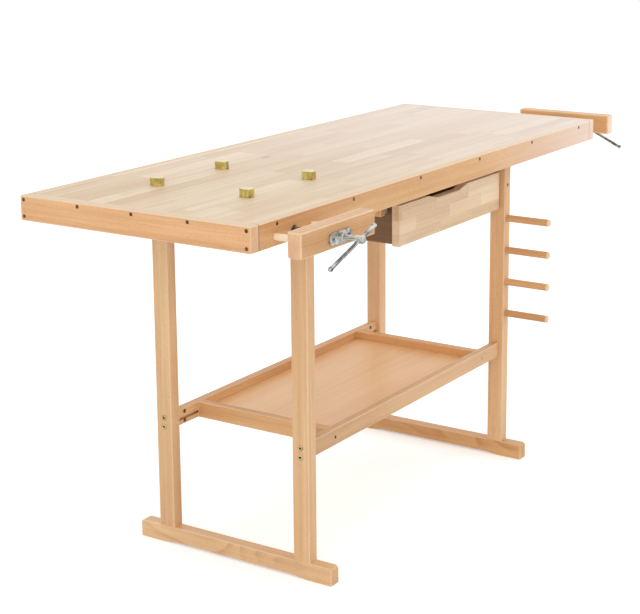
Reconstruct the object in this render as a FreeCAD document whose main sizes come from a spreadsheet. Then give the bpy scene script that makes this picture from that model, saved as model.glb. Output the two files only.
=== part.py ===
import FreeCAD, Part

import os
import re

import Sketcher
from FreeCAD import Vector

# Woodworking bench with a face vise, a tail vise, four bench dogs, tool pegs, a drawer and a shelf.
# Millimetres, +Z up. X runs along the bench and the face vise opens towards -Y.
# Every sub-part is drawn about the plan centre of the worktop, with the floor at Z = 0; its
# Placement then carries it to the frame whose origin lies under the middle of the whole bench.

doc = FreeCAD.newDocument("WorkBench")

# ---------------------------------------------------------------------------
# Sizes: one row per size that can be set by itself
# ---------------------------------------------------------------------------

SIZES = [
    ("bench_length", 1562.0, "over the two end aprons"),
    ("bench_width", 590.0, "over the front and back aprons"),
    ("bench_height", 860.0, "floor to worktop"),
    ("top_thick", 20.0, "worktop panel"),
    ("apron_thick", 20.0, "front and back aprons"),
    ("end_apron_thick", 26.0, "end aprons"),
    ("apron_depth", 53.0, "height of the aprons"),
    ("edge_round", 2.0, "rounding of the handled wooden edges"),
    ("arris", 1.5, "small rounding of the other wooden edges"),
    ("joint_bevel", 1.0, "chamfer along a corner joint of the aprons"),
    ("joint_gap", 0.1, "room round glued tenons, tongues and housings"),
    ("end_gap", 1.0, "room at the bottom of mortises and grooves"),
    ("leg_wide", 30.0, "leg along the bench"),
    ("leg_deep", 42.0, "leg across the bench"),
    ("leg_inset", 329.0, "leg centre from the end of the bench"),
    ("leg_set_in", 108.0, "leg centre from the side of the bench"),
    ("foot_height", 40.0, "foot rail"),
    ("foot_wide", 30.0, "foot rail along the bench"),
    ("foot_toe", 56.0, "foot rail past the legs"),
    ("foot_round", 8.0, "rounded top corners of a foot"),
    ("foot_relief", 5.0, "hollow under a foot"),
    ("pad_length", 68.0, "flat sole at each end of a foot"),
    ("relief_slope", 34.0, "run of the slope up to the hollow"),
    ("bearer_height", 40.0, "cross bearer under the top"),
    ("bearer_wide", 30.0, "cross bearer along the bench"),
    ("bearer_inset", 45.0, "end of a bearer from the side of the bench"),
    ("tenon_thick", 12.0, "leg tenon"),
    ("tenon_wide", 30.0, "leg tenon"),
    ("tenon_long", 30.0, "leg tenon"),
    ("rail_thick", 20.0, "shelf rails"),
    ("rail_height", 38.0, "shelf rails"),
    ("rail_z", 291.0, "middle of the shelf rails above the floor"),
    ("cross_inset", 108.0, "centre of a cross rail from the leg centre"),
    ("shelf_thick", 6.0, "plywood shelf"),
    ("shelf_drop", 5.0, "shelf middle below the middle of the rails"),
    ("groove_deep", 7.0, "shelf groove"),
    ("peg_dia", 18.0, "tool peg"),
    ("peg_out", 120.0, "tool peg in front of the leg"),
    ("peg_in", 25.0, "tenon of a tool peg inside the leg"),
    ("peg_tenon", 12.0, "tenon diameter of a tool peg"),
    ("peg_drop", 160.0, "top peg below the bearers"),
    ("peg_pitch", 84.0, "spacing of the pegs"),
    ("drawer_width", 498.0, "drawer front"),
    ("drawer_clear", 5.0, "drawer front from the right legs"),
    ("drawer_drop", 78.0, "drawer front below the worktop panel"),
    ("drawer_front_high", 96.5, "drawer front"),
    ("drawer_front_thick", 20.0, "drawer front"),
    ("drawer_set_back", 13.0, "drawer front behind the face of the legs"),
    ("drawer_back_inset", 110.0, "back of the drawer from the back of the bench"),
    ("drawer_side_thick", 12.0, "drawer side and back"),
    ("drawer_side_high", 92.5, "drawer side and back"),
    ("drawer_side_lift", 1.0, "side above the lower edge of the front"),
    ("drawer_bottom_thick", 5.0, "plywood bottom"),
    ("drawer_bottom_lift", 8.5, "bottom above the lower edge of the sides"),
    ("drawer_groove", 5.0, "depth of the bottom groove"),
    ("housing_deep", 6.0, "housing of a side in the front"),
    ("notch_inset", 138.0, "finger notch from the left end of the front"),
    ("notch_wide", 188.0, "finger notch along the top edge"),
    ("notch_deep", 10.0, "finger notch"),
    ("notch_slope", 40.0, "run of the sloped notch ends"),
    ("notch_bevel", 2.0, "bevel along the notch floor"),
    ("slide_room", 14.0, "between a drawer side and its hanger"),
    ("slide_rise", 74.0, "slide above the lower edge of the drawer front"),
    ("slide_high", 18.0, "slide channel height"),
    ("slide_steel", 1.3, "slide sheet thickness"),
    ("slide_fit", 0.3, "room between the two slide members"),
    ("slide_reach", 1.4, "moving member clear of the channel web"),
    ("slide_end", 18.0, "slide short of the back end of its hanger"),
    ("slide_front", 22.0, "slide behind the drawer front"),
    ("hanger_thick", 18.0, "drawer hanger"),
    ("hanger_lip", 4.0, "hanger below its slide"),
    ("hanger_set_back", 20.0, "hanger behind the drawer front"),
    ("hanger_end", 6.0, "hanger ahead of the back legs"),
    ("vise_drop", 33.5, "vise screw below the worktop"),
    ("front_jaw_width", 263.0, "jaw of the face vise"),
    ("tail_jaw_width", 268.0, "jaw of the tail vise"),
    ("jaw_thick", 32.0, "vise jaw"),
    ("jaw_high", 51.0, "vise jaw"),
    ("jaw_rise", 30.5, "top of a jaw above its screw"),
    ("jaw_round", 4.0, "rounded front edges of a jaw"),
    ("jaw_bevel", 3.0, "chamfered ends of a jaw"),
    ("face_vise_inset", 144.5, "face vise screw from the left end"),
    ("tail_vise_inset", 134.0, "tail vise screw from the front"),
    ("front_opening", 74.0, "face vise, from apron to jaw"),
    ("tail_opening", 94.0, "tail vise, from apron to jaw"),
    ("rod_dia", 14.0, "guide rod"),
    ("rod_spread", 64.0, "guide rod from the screw"),
    ("rod_long", 300.0, "guide rod"),
    ("rod_housed", 24.0, "guide rod inside the jaw"),
    ("rod_fit", 0.1, "radial running room of a guide rod"),
    ("apron_rod_room", 0.5, "radial room of a rod in the apron"),
    ("block_thick", 40.0, "guide block behind the apron"),
    ("block_width", 185.0, "guide block"),
    ("block_high", 32.0, "guide block"),
    ("nut_long", 20.0, "vise nut"),
    ("nut_width", 40.0, "vise nut"),
    ("nut_high", 27.0, "vise nut"),
    ("screw_dia", 16.0, "vise screw"),
    ("screw_running", 0.1, "radial room of the vise screw in its nut"),
    ("screw_inner", 265.0, "vise screw behind the jaw face"),
    ("screw_room", 1.0, "radial room of the vise screw in wood"),
    ("apron_screw_room", 3.0, "radial room of the vise screw in the apron"),
    ("flange_width", 77.0, "jaw flange"),
    ("flange_high", 25.0, "jaw flange"),
    ("flange_thick", 4.0, "jaw flange"),
    ("flange_round", 11.0, "flange corners"),
    ("boss_dia", 16.0, "flange boss"),
    ("boss_long", 8.0, "flange boss"),
    ("neck_dia", 10.0, "journal of the vise screw"),
    ("shoulder_gap", 0.3, "end play of the vise screw"),
    ("hub_dia", 16.0, "hub head"),
    ("hub_base", 14.0, "hub next to the boss"),
    ("hub_waist", 10.0, "hub next to its head"),
    ("hub_collar", 3.0, "straight part of the hub next to the boss"),
    ("hub_long", 45.0, "hub in front of the boss"),
    ("hub_bar", 10.0, "bar hole from the end of the hub"),
    ("hub_chamfer", 2.0, "chamfered end of the hub"),
    ("bar_dia", 8.0, "tommy bar"),
    ("bar_fit", 0.15, "radial room of a tommy bar in its hub"),
    ("bar_total", 170.0, "tommy bar over its caps"),
    ("cap_dia", 10.0, "tommy bar cap"),
    ("cap_long", 6.5, "tommy bar cap"),
    ("front_bar_tilt", 19.5, "face vise bar below the horizontal, degrees"),
    ("front_bar_slip", 28.0, "face vise bar pushed down from its middle"),
    ("tail_bar_tilt", 26.0, "tail vise bar below the horizontal, degrees"),
    ("tail_bar_slip", 70.0, "tail vise bar pushed down from its middle"),
    ("dog_inset", 231.0, "left pair of dogs from the left end"),
    ("dog_pitch", 228.0, "between the two pairs of dogs"),
    ("dog_side_inset", 177.0, "dogs from the sides of the bench"),
    ("dog_shank", 19.0, "bench dog shank"),
    ("dog_shank_long", 45.0, "bench dog below the worktop"),
    ("dog_fit", 0.15, "radial room of a dog in its hole"),
    ("dog_seat", 0.05, "room under a dog head"),
    ("dog_head", 31.0, "bench dog head diameter"),
    ("dog_head_high", 18.5, "bench dog head"),
    ("dog_flat", 11.0, "gripping flat from the dog's axis"),
]

sheet = doc.addObject("Spreadsheet::Sheet", "Sizes")
for row, (alias, value, note) in enumerate(SIZES, start=1):
    sheet.set(f"A{row}", note)
    sheet.set(f"B{row}", str(value))
    sheet.setAlias(f"B{row}", alias)
doc.recompute()

ALIASES = {alias for alias, value, note in SIZES}


def bound(text):
    """An expression with each alias spelt as a cell of the sheet."""
    return re.sub(r"[A-Za-z_]\w*", lambda m: "Sizes." + m[0] if m[0] in ALIASES else m[0], str(text))


def value(text):
    return float(sheet.evalExpression(bound(text)))


# ---------------------------------------------------------------------------
# Places that several pieces share
# ---------------------------------------------------------------------------

HALF_W = "(bench_width / 2)"
LEG_X = "(bench_length / 2 - leg_inset)"
LEG_Y = "(bench_width / 2 - leg_set_in)"
CROSS_X = "(bench_length / 2 - leg_inset - cross_inset)"
FACE_VISE_X = "(face_vise_inset - bench_length / 2)"
TAIL_VISE_Y = "(tail_vise_inset - bench_width / 2)"
IN_L = "(bench_length / 2 - end_apron_thick)"
IN_W = "(bench_width / 2 - apron_thick)"
TOP_UNDER = "(bench_height - top_thick)"
APRON_LOW = "(bench_height - apron_depth)"
BEARER_LOW = "(bench_height - top_thick - bearer_height)"
SCREW_Z = "(bench_height - vise_drop)"
LEG_IN = "(bench_length / 2 - leg_inset - leg_wide / 2)"
LEG_OUT = "(bench_length / 2 - leg_inset + leg_wide / 2)"
LEG_FRONT = "(bench_width / 2 - leg_set_in + leg_deep / 2)"
RAIL_IN = "(bench_width / 2 - leg_set_in - rail_thick / 2)"
RAIL_LOW = "(rail_z - rail_height / 2)"
RAIL_TOP = "(rail_z + rail_height / 2)"
CROSS_IN = f"({CROSS_X} - rail_thick / 2)"
SHELF_LOW = "(rail_z - shelf_drop - shelf_thick / 2)"

DRAWER_X1 = f"({LEG_IN} - drawer_clear)"
DRAWER_X0 = f"({LEG_IN} - drawer_clear - drawer_width)"
DRAWER_TOP = f"({TOP_UNDER} - drawer_drop)"
DRAWER_Z0 = f"({TOP_UNDER} - drawer_drop - drawer_front_high)"
DRAWER_FACE = f"(drawer_set_back - {LEG_FRONT})"
FRONT_BACK = f"({DRAWER_FACE} + drawer_front_thick)"
DRAWER_END = "(bench_width / 2 - drawer_back_inset)"
SIDE_LOW = f"({DRAWER_Z0} + drawer_side_lift)"
SIDE_TOP = f"({SIDE_LOW} + drawer_side_high)"
SIDE_X0 = f"({DRAWER_X0} + slide_room)"
SIDE_X1 = f"({DRAWER_X1} - slide_room)"
BOTTOM_LOW = f"({SIDE_LOW} + drawer_bottom_lift)"
SLIDE_LOW = f"({DRAWER_Z0} + slide_rise)"
SLIDE_TOP = f"({SLIDE_LOW} + slide_high)"
SLIDE_Y0 = f"({FRONT_BACK} + slide_front)"
HANGER_Y0 = f"({FRONT_BACK} + hanger_set_back)"
HANGER_Y1 = f"({LEG_Y} - leg_deep / 2 - hanger_end)"
SLIDE_LONG = f"({HANGER_Y1} - slide_end - {SLIDE_Y0})"

SHIFT_X = "(-(tail_opening + jaw_thick + flange_thick + boss_long + hub_long) / 2)"
SHIFT_Y = "((front_opening + jaw_thick + flange_thick + boss_long + hub_long) / 2)"

# ---------------------------------------------------------------------------
# Helpers
# ---------------------------------------------------------------------------

PLANES = {"X": "YZ_Plane", "Y": "XZ_Plane", "Z": "XY_Plane"}
PLANE_SIGN = {"X": 1, "Y": -1, "Z": 1}
TURN = {
    "+X": (Vector(0, 1, 0), 90), "-X": (Vector(0, 1, 0), -90),
    "+Y": (Vector(1, 0, 0), -90), "-Y": (Vector(1, 0, 0), 90),
    "+Z": (Vector(0, 0, 1), 0), "-Z": (Vector(1, 0, 0), 180),
}
pieces = []


def keep(thing, name):
    """Name a finished sub-part; its label is its file name."""
    thing.Label = name
    pieces.append(thing)
    return thing


def carry(thing, place=None):
    """Bind a sub-part's Placement to the bench frame, or to a vise's own frame."""
    if place:
        thing.setExpression("Placement", bound(place))
    else:
        thing.setExpression("Placement.Base.x", bound(SHIFT_X))
        thing.setExpression("Placement.Base.y", bound(SHIFT_Y))
    return thing


def new_body(name, place=None):
    piece = doc.addObject("PartDesign::Body", "body_" + name)
    carry(piece, place)
    return keep(piece, name)


def rect(a0, b0, a1, b1):
    return [(a0, b0), (a1, b0), (a1, b1), (a0, b1)]


def circle(a, b, radius):
    return ("circle", a, b, radius)


def pin_point(sketch, geometry, end, a, b):
    """Constrain one point of the sketch to the expressions a and b; None leaves a coordinate."""
    for kind, text, other in (("DistanceX", a, -2), ("DistanceY", b, -1)):
        if text is None:
            continue
        if str(text) == "0":
            sketch.addConstraint(Sketcher.Constraint("PointOnObject", geometry, end, other))
            continue
        index = sketch.addConstraint(Sketcher.Constraint(kind, -1, 1, geometry, end, value(text)))
        sketch.setExpression(f"Constraints[{index}]", bound(text))


def draw_polygon(sketch, corners):
    first = len(sketch.Geometry)
    count = len(corners)
    ends = [Vector(value(a), value(b), 0) for a, b in corners]
    for i in range(count):
        sketch.addGeometry(Part.LineSegment(ends[i], ends[(i + 1) % count]), False)
    for i in range(count):
        sketch.addConstraint(
            Sketcher.Constraint("Coincident", first + i, 2, first + (i + 1) % count, 1))
    for i, (a, b) in enumerate(corners):
        last_a, last_b = corners[i - 1] if i else (None, None)
        if a == last_a:
            sketch.addConstraint(Sketcher.Constraint("Vertical", first + i - 1))
            a = None
        if b == last_b:
            sketch.addConstraint(Sketcher.Constraint("Horizontal", first + i - 1))
            b = None
        pin_point(sketch, first + i, 1, a, b)


def draw_circle(sketch, a, b, radius):
    index = len(sketch.Geometry)
    sketch.addGeometry(Part.Circle(Vector(value(a), value(b), 0), Vector(0, 0, 1), value(radius)), False)
    pin_point(sketch, index, 3, a, b)
    number = sketch.addConstraint(Sketcher.Constraint("Radius", index, value(radius)))
    sketch.setExpression(f"Constraints[{number}]", bound(radius))


def new_sketch(piece, name, axis, at, loops, centre=("0", "0")):
    """A sketch square to an axis of the body, at the coordinate `at` on that axis."""
    sketch = piece.newObject("Sketcher::SketchObject", name)
    plane = next(f for f in piece.Origin.OriginFeatures if f.Role == PLANES[axis])
    sketch.AttachmentSupport = [(plane, "")]
    sketch.MapMode = "FlatFace"
    sketch.setExpression("AttachmentOffset.Base.x", bound(centre[0]))
    sketch.setExpression("AttachmentOffset.Base.y", bound(centre[1]))
    sketch.setExpression("AttachmentOffset.Base.z", bound(f"{PLANE_SIGN[axis]} * ({at})"))
    for loop in loops:
        if loop[0] == "circle":
            draw_circle(sketch, *loop[1:])
        else:
            draw_polygon(sketch, loop)
    return sketch


def grow(piece, name, way, at, loops, length):
    """Pad the loops from the plane `at` along `way`, such as "+Z"."""
    sketch = new_sketch(piece, name + "_outline", way[1], at, loops)
    pad = piece.newObject("PartDesign::Pad", name)
    pad.Profile = sketch
    pad.setExpression("Length", bound(length))
    pad.Reversed = (way[0] == "-") != (PLANE_SIGN[way[1]] < 0)
    return pad


def recess(piece, name, face, at, loops, depth):
    """Pocket the loops from the face `at`, whose outward direction is `face`."""
    doc.recompute()
    before = piece.Shape.Volume
    sketch = new_sketch(piece, name + "_outline", face[1], at, loops)
    pocket = piece.newObject("PartDesign::Pocket", name)
    pocket.Profile = sketch
    pocket.setExpression("Length", bound(depth))
    pocket.Reversed = (face[0] == "-") != (PLANE_SIGN[face[1]] < 0)
    doc.recompute()
    if not piece.Shape.Volume < before - 0.01:
        raise RuntimeError(f"{piece.Label}: {name} cuts nothing")
    return pocket


def revolve(piece, name, axis, centre, profile):
    """A turned solid about `axis`; profile corners are (along the axis, radius)."""
    if axis == "X":
        sketch = new_sketch(piece, name + "_profile", "Y", centre[0], [profile], ("0", centre[1]))
        line = "H_Axis"
    elif axis == "Y":
        sketch = new_sketch(piece, name + "_profile", "X", centre[0], [profile], ("0", centre[1]))
        line = "H_Axis"
    else:
        flipped = [(radius, along) for along, radius in profile]
        sketch = new_sketch(piece, name + "_profile", "Y", centre[1], [flipped], (centre[0], "0"))
        line = "V_Axis"
    turned = piece.newObject("PartDesign::Revolution", name)
    turned.Profile = sketch
    turned.ReferenceAxis = (sketch, [line])
    turned.Angle = 360
    return turned


def edges_of(piece, test):
    """Names of the tip's edges that pass the test, which gets the middle and the edge."""
    shape = piece.Tip.Shape
    names = []
    for i, edge in enumerate(shape.Edges, start=1):
        middle = edge.valueAt((edge.FirstParameter + edge.LastParameter) / 2)
        if test(middle, edge):
            names.append(f"Edge{i}")
    return names


def runs(edge, axis):
    """Is the edge a straight line along an axis?"""
    if edge.Curve.TypeId != "Part::GeomLine":
        return False
    a, b = edge.firstVertex().Point, edge.lastVertex().Point
    run = b - a
    return abs(getattr(run, axis)) > 0.999 * run.Length


def near(a, text):
    return abs(a - value(text)) < 0.01


def soften(piece, name, kind, size, test):
    """Fillet or Chamfer the edges that pass the test."""
    doc.recompute()
    names = edges_of(piece, test)
    if not names:
        raise RuntimeError(f"{piece.Label}: {name} finds no edge")
    dress = piece.newObject("PartDesign::" + kind, name)
    dress.Base = (piece.Tip if piece.Tip != dress else dress.BaseFeature, names)
    dress.setExpression("Radius" if kind == "Fillet" else "Size", bound(size))
    doc.recompute()
    return dress


def cylinder(name, way, spot, radius, length):
    """A Part::Cylinder from `spot` along `way`, without the shift to the bench frame."""
    rod = doc.addObject("Part::Cylinder", name)
    rod.setExpression("Radius", bound(radius))
    rod.setExpression("Height", bound(length))
    return put(rod, way, spot)


def put(primitive, way, spot):
    axis, angle = TURN[way]
    primitive.Placement = FreeCAD.Placement(Vector(), FreeCAD.Rotation(axis, angle))
    for letter, text in zip("xyz", spot):
        primitive.setExpression(f"Placement.Base.{letter}", bound(text))
    return primitive


def group(name, shapes, place=None):
    """One node of separate solids, from primitives that meet only within a solid."""
    joined = doc.addObject("Part::MultiFuse", "group_" + name)
    joined.Shapes = shapes
    joined.Refine = True
    carry(joined, place)
    return keep(joined, name)


# ---------------------------------------------------------------------------
# Worktop and aprons
# ---------------------------------------------------------------------------

DOG_XS = ["(dog_inset - bench_length / 2)", "(dog_inset + dog_pitch - bench_length / 2)"]
DOGS = [(x, f"({s} * (bench_width / 2 - dog_side_inset))") for x in DOG_XS for s in (-1, 1)]


def vise_bores(middle):
    """Loops of the holes of one vise in an apron: two for the rods and one for the screw."""
    rod = "(rod_dia / 2 + apron_rod_room)"
    loops = [circle(f"({middle} + {s} * rod_spread)", SCREW_Z, rod) for s in (-1, 1)]
    loops.append(circle(middle, SCREW_Z, "(screw_dia / 2 + apron_screw_room)"))
    return loops


def make_worktop():
    panel = new_body("worktop_panel")
    grow(panel, "panel", "+Z", TOP_UNDER,
         [rect(f"(-{IN_L})", f"(-{IN_W})", IN_L, IN_W)], "top_thick")
    recess(panel, "dog_holes", "+Z", "bench_height",
           [circle(x, y, "(dog_shank / 2 + dog_fit)") for x, y in DOGS], "top_thick")


def make_long_apron(name, side):
    sign = "-" if side < 0 else "+"
    face = f"({side} * bench_width / 2)"
    apron = new_body(name)
    grow(apron, "board", sign + "Y", f"({side} * {IN_W})",
         [rect(f"(-{IN_L})", APRON_LOW, IN_L, "bench_height")], "apron_thick")
    soften(apron, "outer_edges", "Chamfer", "edge_round",
           lambda c, e: runs(e, "x") and near(c.y, face))
    soften(apron, "joint_edges", "Chamfer", "joint_bevel",
           lambda c, e: runs(e, "z") and near(c.y, face))
    if side < 0:
        recess(apron, "vise_holes", "-Y", face, vise_bores(FACE_VISE_X), "apron_thick")


def make_end_apron(name, side):
    sign = "-" if side < 0 else "+"
    face = f"({side} * bench_length / 2)"
    apron = new_body(name)
    grow(apron, "board", sign + "X", f"({side} * {IN_L})",
         [rect(f"(-{HALF_W})", APRON_LOW, HALF_W, "bench_height")], "end_apron_thick")
    soften(apron, "outer_edges", "Chamfer", "edge_round",
           lambda c, e: near(c.x, face) or (runs(e, "x") and near(abs(c.y), HALF_W)))
    soften(apron, "joint_edges", "Chamfer", "joint_bevel",
           lambda c, e: runs(e, "z") and near(abs(c.y), HALF_W) and near(abs(c.x), IN_L))
    if side > 0:
        recess(apron, "vise_holes", "+X", face, vise_bores(TAIL_VISE_Y), "end_apron_thick")


# ---------------------------------------------------------------------------
# Leg frames
# ---------------------------------------------------------------------------


def mortises(x):
    half_t = "(tenon_thick / 2 + joint_gap)"
    half_w = "(tenon_wide / 2 + joint_gap)"
    return [rect(f"({x} - {half_t})", f"({s} * {LEG_Y} - {half_w})",
                 f"({x} + {half_t})", f"({s} * {LEG_Y} + {half_w})") for s in (-1, 1)]


def make_foot(name, side):
    x = f"({side} * {LEG_X})"
    half = f"({LEG_FRONT} + foot_toe)"
    flat = f"({half} - pad_length)"
    hollow = f"({flat} - relief_slope)"
    foot = new_body(name)
    outline = [(f"(-{half})", "0"), (f"(-{flat})", "0"), (f"(-{hollow})", "foot_relief"),
               (hollow, "foot_relief"), (flat, "0"), (half, "0"),
               (half, "foot_height"), (f"(-{half})", "foot_height")]
    grow(foot, "rail", "+X", f"({x} - foot_wide / 2)", [outline], "foot_wide")
    soften(foot, "round_ends", "Fillet", "foot_round",
           lambda c, e: runs(e, "x") and near(c.z, "foot_height"))
    soften(foot, "top_edges", "Chamfer", "arris",
           lambda c, e: c.z > value("foot_height - foot_round") - 0.1 and not runs(e, "x")
           and near(abs(c.x - value(x)), "foot_wide / 2") and not near(c.z, "foot_height / 2"))
    recess(foot, "mortises", "+Z", "foot_height", mortises(x), "(tenon_long + end_gap)")


def make_leg(name, side_x, side_y):
    x, y = f"({side_x} * {LEG_X})", f"({side_y} * {LEG_Y})"
    leg = new_body(name)
    grow(leg, "post", "+Z", "foot_height",
         [rect(f"({x} - leg_wide / 2)", f"({y} - leg_deep / 2)",
               f"({x} + leg_wide / 2)", f"({y} + leg_deep / 2)")],
         f"({BEARER_LOW} - foot_height)")
    soften(leg, "long_edges", "Chamfer", "arris", lambda c, e: runs(e, "z"))
    tenon = [rect(f"({x} - tenon_thick / 2)", f"({y} - tenon_wide / 2)",
                  f"({x} + tenon_thick / 2)", f"({y} + tenon_wide / 2)")]
    grow(leg, "top_tenon", "+Z", BEARER_LOW, tenon, "tenon_long")
    grow(leg, "foot_tenon", "-Z", "foot_height", tenon, "tenon_long")
    if side_x > 0 and side_y < 0:
        pegs = [circle(x, z, "(peg_tenon / 2 + joint_gap)") for z in PEG_ZS]
        recess(leg, "peg_holes", "-Y", f"(-{LEG_FRONT})", pegs, "(peg_in + end_gap)")


PEG_ZS = [f"({BEARER_LOW} - peg_drop - {k} * peg_pitch)" for k in range(4)]


def make_bearer(name, side):
    x = f"({side} * {LEG_X})"
    half = "(bench_width / 2 - bearer_inset)"
    bearer = new_body(name)
    grow(bearer, "beam", "+X", f"({x} - bearer_wide / 2)",
         [rect(f"(-{half})", BEARER_LOW, half, TOP_UNDER)], "bearer_wide")
    soften(bearer, "end_corners", "Chamfer", "foot_round",
           lambda c, e: runs(e, "x") and near(c.z, BEARER_LOW))
    recess(bearer, "mortises", "-Z", BEARER_LOW, mortises(x), "(tenon_long + end_gap)")


# ---------------------------------------------------------------------------
# Shelf between the leg frames
# ---------------------------------------------------------------------------

GROOVE_LOW = "(rail_z - shelf_drop - shelf_thick / 2 - joint_gap)"
GROOVE_TOP = "(rail_z - shelf_drop + shelf_thick / 2 + joint_gap)"


def make_shelf_rail(name, side):
    sign = "-" if side < 0 else "+"
    inner = "-" if side > 0 else "+"
    rail = new_body(name)
    grow(rail, "board", sign + "Y", f"({side} * {RAIL_IN})",
         [rect(f"(-{LEG_IN})", RAIL_LOW, LEG_IN, RAIL_TOP)], "rail_thick")
    soften(rail, "long_edges", "Chamfer", "arris", lambda c, e: runs(e, "x"))
    recess(rail, "shelf_groove", inner + "Y", f"({side} * {RAIL_IN})",
           [rect(f"(-{LEG_IN})", GROOVE_LOW, LEG_IN, GROOVE_TOP)], "groove_deep")


def make_cross_rail(name, side):
    sign = "-" if side < 0 else "+"
    inner = "-" if side > 0 else "+"
    rail = new_body(name)
    grow(rail, "board", sign + "X", f"({side} * {CROSS_IN})",
         [rect(f"(-{RAIL_IN})", RAIL_LOW, RAIL_IN, RAIL_TOP)], "rail_thick")
    soften(rail, "long_edges", "Chamfer", "arris", lambda c, e: runs(e, "y"))
    recess(rail, "shelf_groove", inner + "X", f"({side} * {CROSS_IN})",
           [rect(f"(-{RAIL_IN})", GROOVE_LOW, RAIL_IN, GROOVE_TOP)], "groove_deep")


def make_shelf():
    half_x = f"({CROSS_IN} + groove_deep - end_gap)"
    half_y = f"({RAIL_IN} + groove_deep - end_gap)"
    panel = new_body("shelf_panel")
    grow(panel, "plywood", "+Z", SHELF_LOW,
         [rect(f"(-{half_x})", f"(-{half_y})", half_x, half_y)], "shelf_thick")


def make_pegs():
    shapes = []
    for i, z in enumerate(PEG_ZS):
        seat = (LEG_X, f"(-{LEG_FRONT})", z)
        shapes.append(cylinder(f"peg{i}", "-Y", seat, "peg_dia / 2", "peg_out"))
        shapes.append(cylinder(f"peg_tenon{i}", "+Y", seat, "peg_tenon / 2", "peg_in"))
    group("tool_pegs", shapes)


# ---------------------------------------------------------------------------
# Drawer and its slides
# ---------------------------------------------------------------------------

BACK_IN = f"({DRAWER_END} - drawer_side_thick)"
BOTTOM_SLOT_LOW = f"({BOTTOM_LOW} - joint_gap)"
BOTTOM_SLOT_TOP = f"({BOTTOM_LOW} + drawer_bottom_thick + joint_gap)"
INNER_X0 = f"({SIDE_X0} + drawer_side_thick)"
INNER_X1 = f"({SIDE_X1} - drawer_side_thick)"


def make_drawer_front():
    floor = f"({DRAWER_TOP} - notch_deep)"
    notch = f"({DRAWER_X0} + notch_inset)"
    notch_end = f"({notch} + notch_wide)"
    front = new_body("drawer_front")
    outline = [(DRAWER_X0, DRAWER_Z0), (DRAWER_X1, DRAWER_Z0), (DRAWER_X1, DRAWER_TOP),
               (notch_end, DRAWER_TOP), (f"({notch_end} - notch_slope)", floor),
               (f"({notch} + notch_slope)", floor), (notch, DRAWER_TOP),
               (DRAWER_X0, DRAWER_TOP)]
    grow(front, "board", "-Y", FRONT_BACK, [outline], "drawer_front_thick")
    soften(front, "notch_floor", "Chamfer", "notch_bevel",
           lambda c, e: runs(e, "x") and near(c.z, floor) and near(c.y, DRAWER_FACE))
    soften(front, "face_edges", "Chamfer", "arris",
           lambda c, e: near(c.y, DRAWER_FACE)
           and (near(c.x, DRAWER_X0) or near(c.x, DRAWER_X1) or near(c.z, DRAWER_Z0)))
    housings = [rect(f"({a} - joint_gap)", f"({SIDE_LOW} - joint_gap)",
                     f"({a} + drawer_side_thick + joint_gap)", f"({SIDE_TOP} + joint_gap)")
                for a in (SIDE_X0, f"({SIDE_X1} - drawer_side_thick)")]
    recess(front, "side_housings", "+Y", FRONT_BACK, housings, "housing_deep")
    recess(front, "bottom_groove", "+Y", FRONT_BACK,
           [rect(INNER_X0, BOTTOM_SLOT_LOW, INNER_X1, BOTTOM_SLOT_TOP)], "drawer_groove")


def make_drawer_side(name, side):
    x0 = SIDE_X0 if side < 0 else INNER_X1
    inner_face = INNER_X0 if side < 0 else INNER_X1
    board = new_body(name)
    grow(board, "board", "+X", x0,
         [rect(f"({FRONT_BACK} - housing_deep)", SIDE_LOW, DRAWER_END, SIDE_TOP)],
         "drawer_side_thick")
    recess(board, "bottom_groove", "+X" if side < 0 else "-X", inner_face,
           [rect(f"({FRONT_BACK} - housing_deep)", BOTTOM_SLOT_LOW, BACK_IN + " + drawer_groove",
                 BOTTOM_SLOT_TOP)], "drawer_groove")


def make_drawer_back():
    back = new_body("drawer_back")
    grow(back, "board", "+Y", BACK_IN, [rect(INNER_X0, SIDE_LOW, INNER_X1, SIDE_TOP)],
         "drawer_side_thick")
    recess(back, "bottom_groove", "-Y", BACK_IN,
           [rect(INNER_X0, BOTTOM_SLOT_LOW, INNER_X1, BOTTOM_SLOT_TOP)], "drawer_groove")


def make_drawer_bottom():
    tongue = "(drawer_groove - end_gap)"
    bottom = new_body("drawer_bottom")
    grow(bottom, "plywood", "+Z", BOTTOM_LOW,
         [rect(f"({INNER_X0} - {tongue})", f"({FRONT_BACK} - {tongue})",
               f"({INNER_X1} + {tongue})", f"({BACK_IN} + {tongue})")], "drawer_bottom_thick")


def make_hanger(name, side):
    x0 = f"({DRAWER_X0} - hanger_thick)" if side < 0 else DRAWER_X1
    top = TOP_UNDER if side < 0 else BEARER_LOW
    hanger = new_body(name)
    grow(hanger, "board", "+X", x0,
         [rect(HANGER_Y0, f"({SLIDE_LOW} - hanger_lip)", HANGER_Y1, top)], "hanger_thick")


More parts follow.
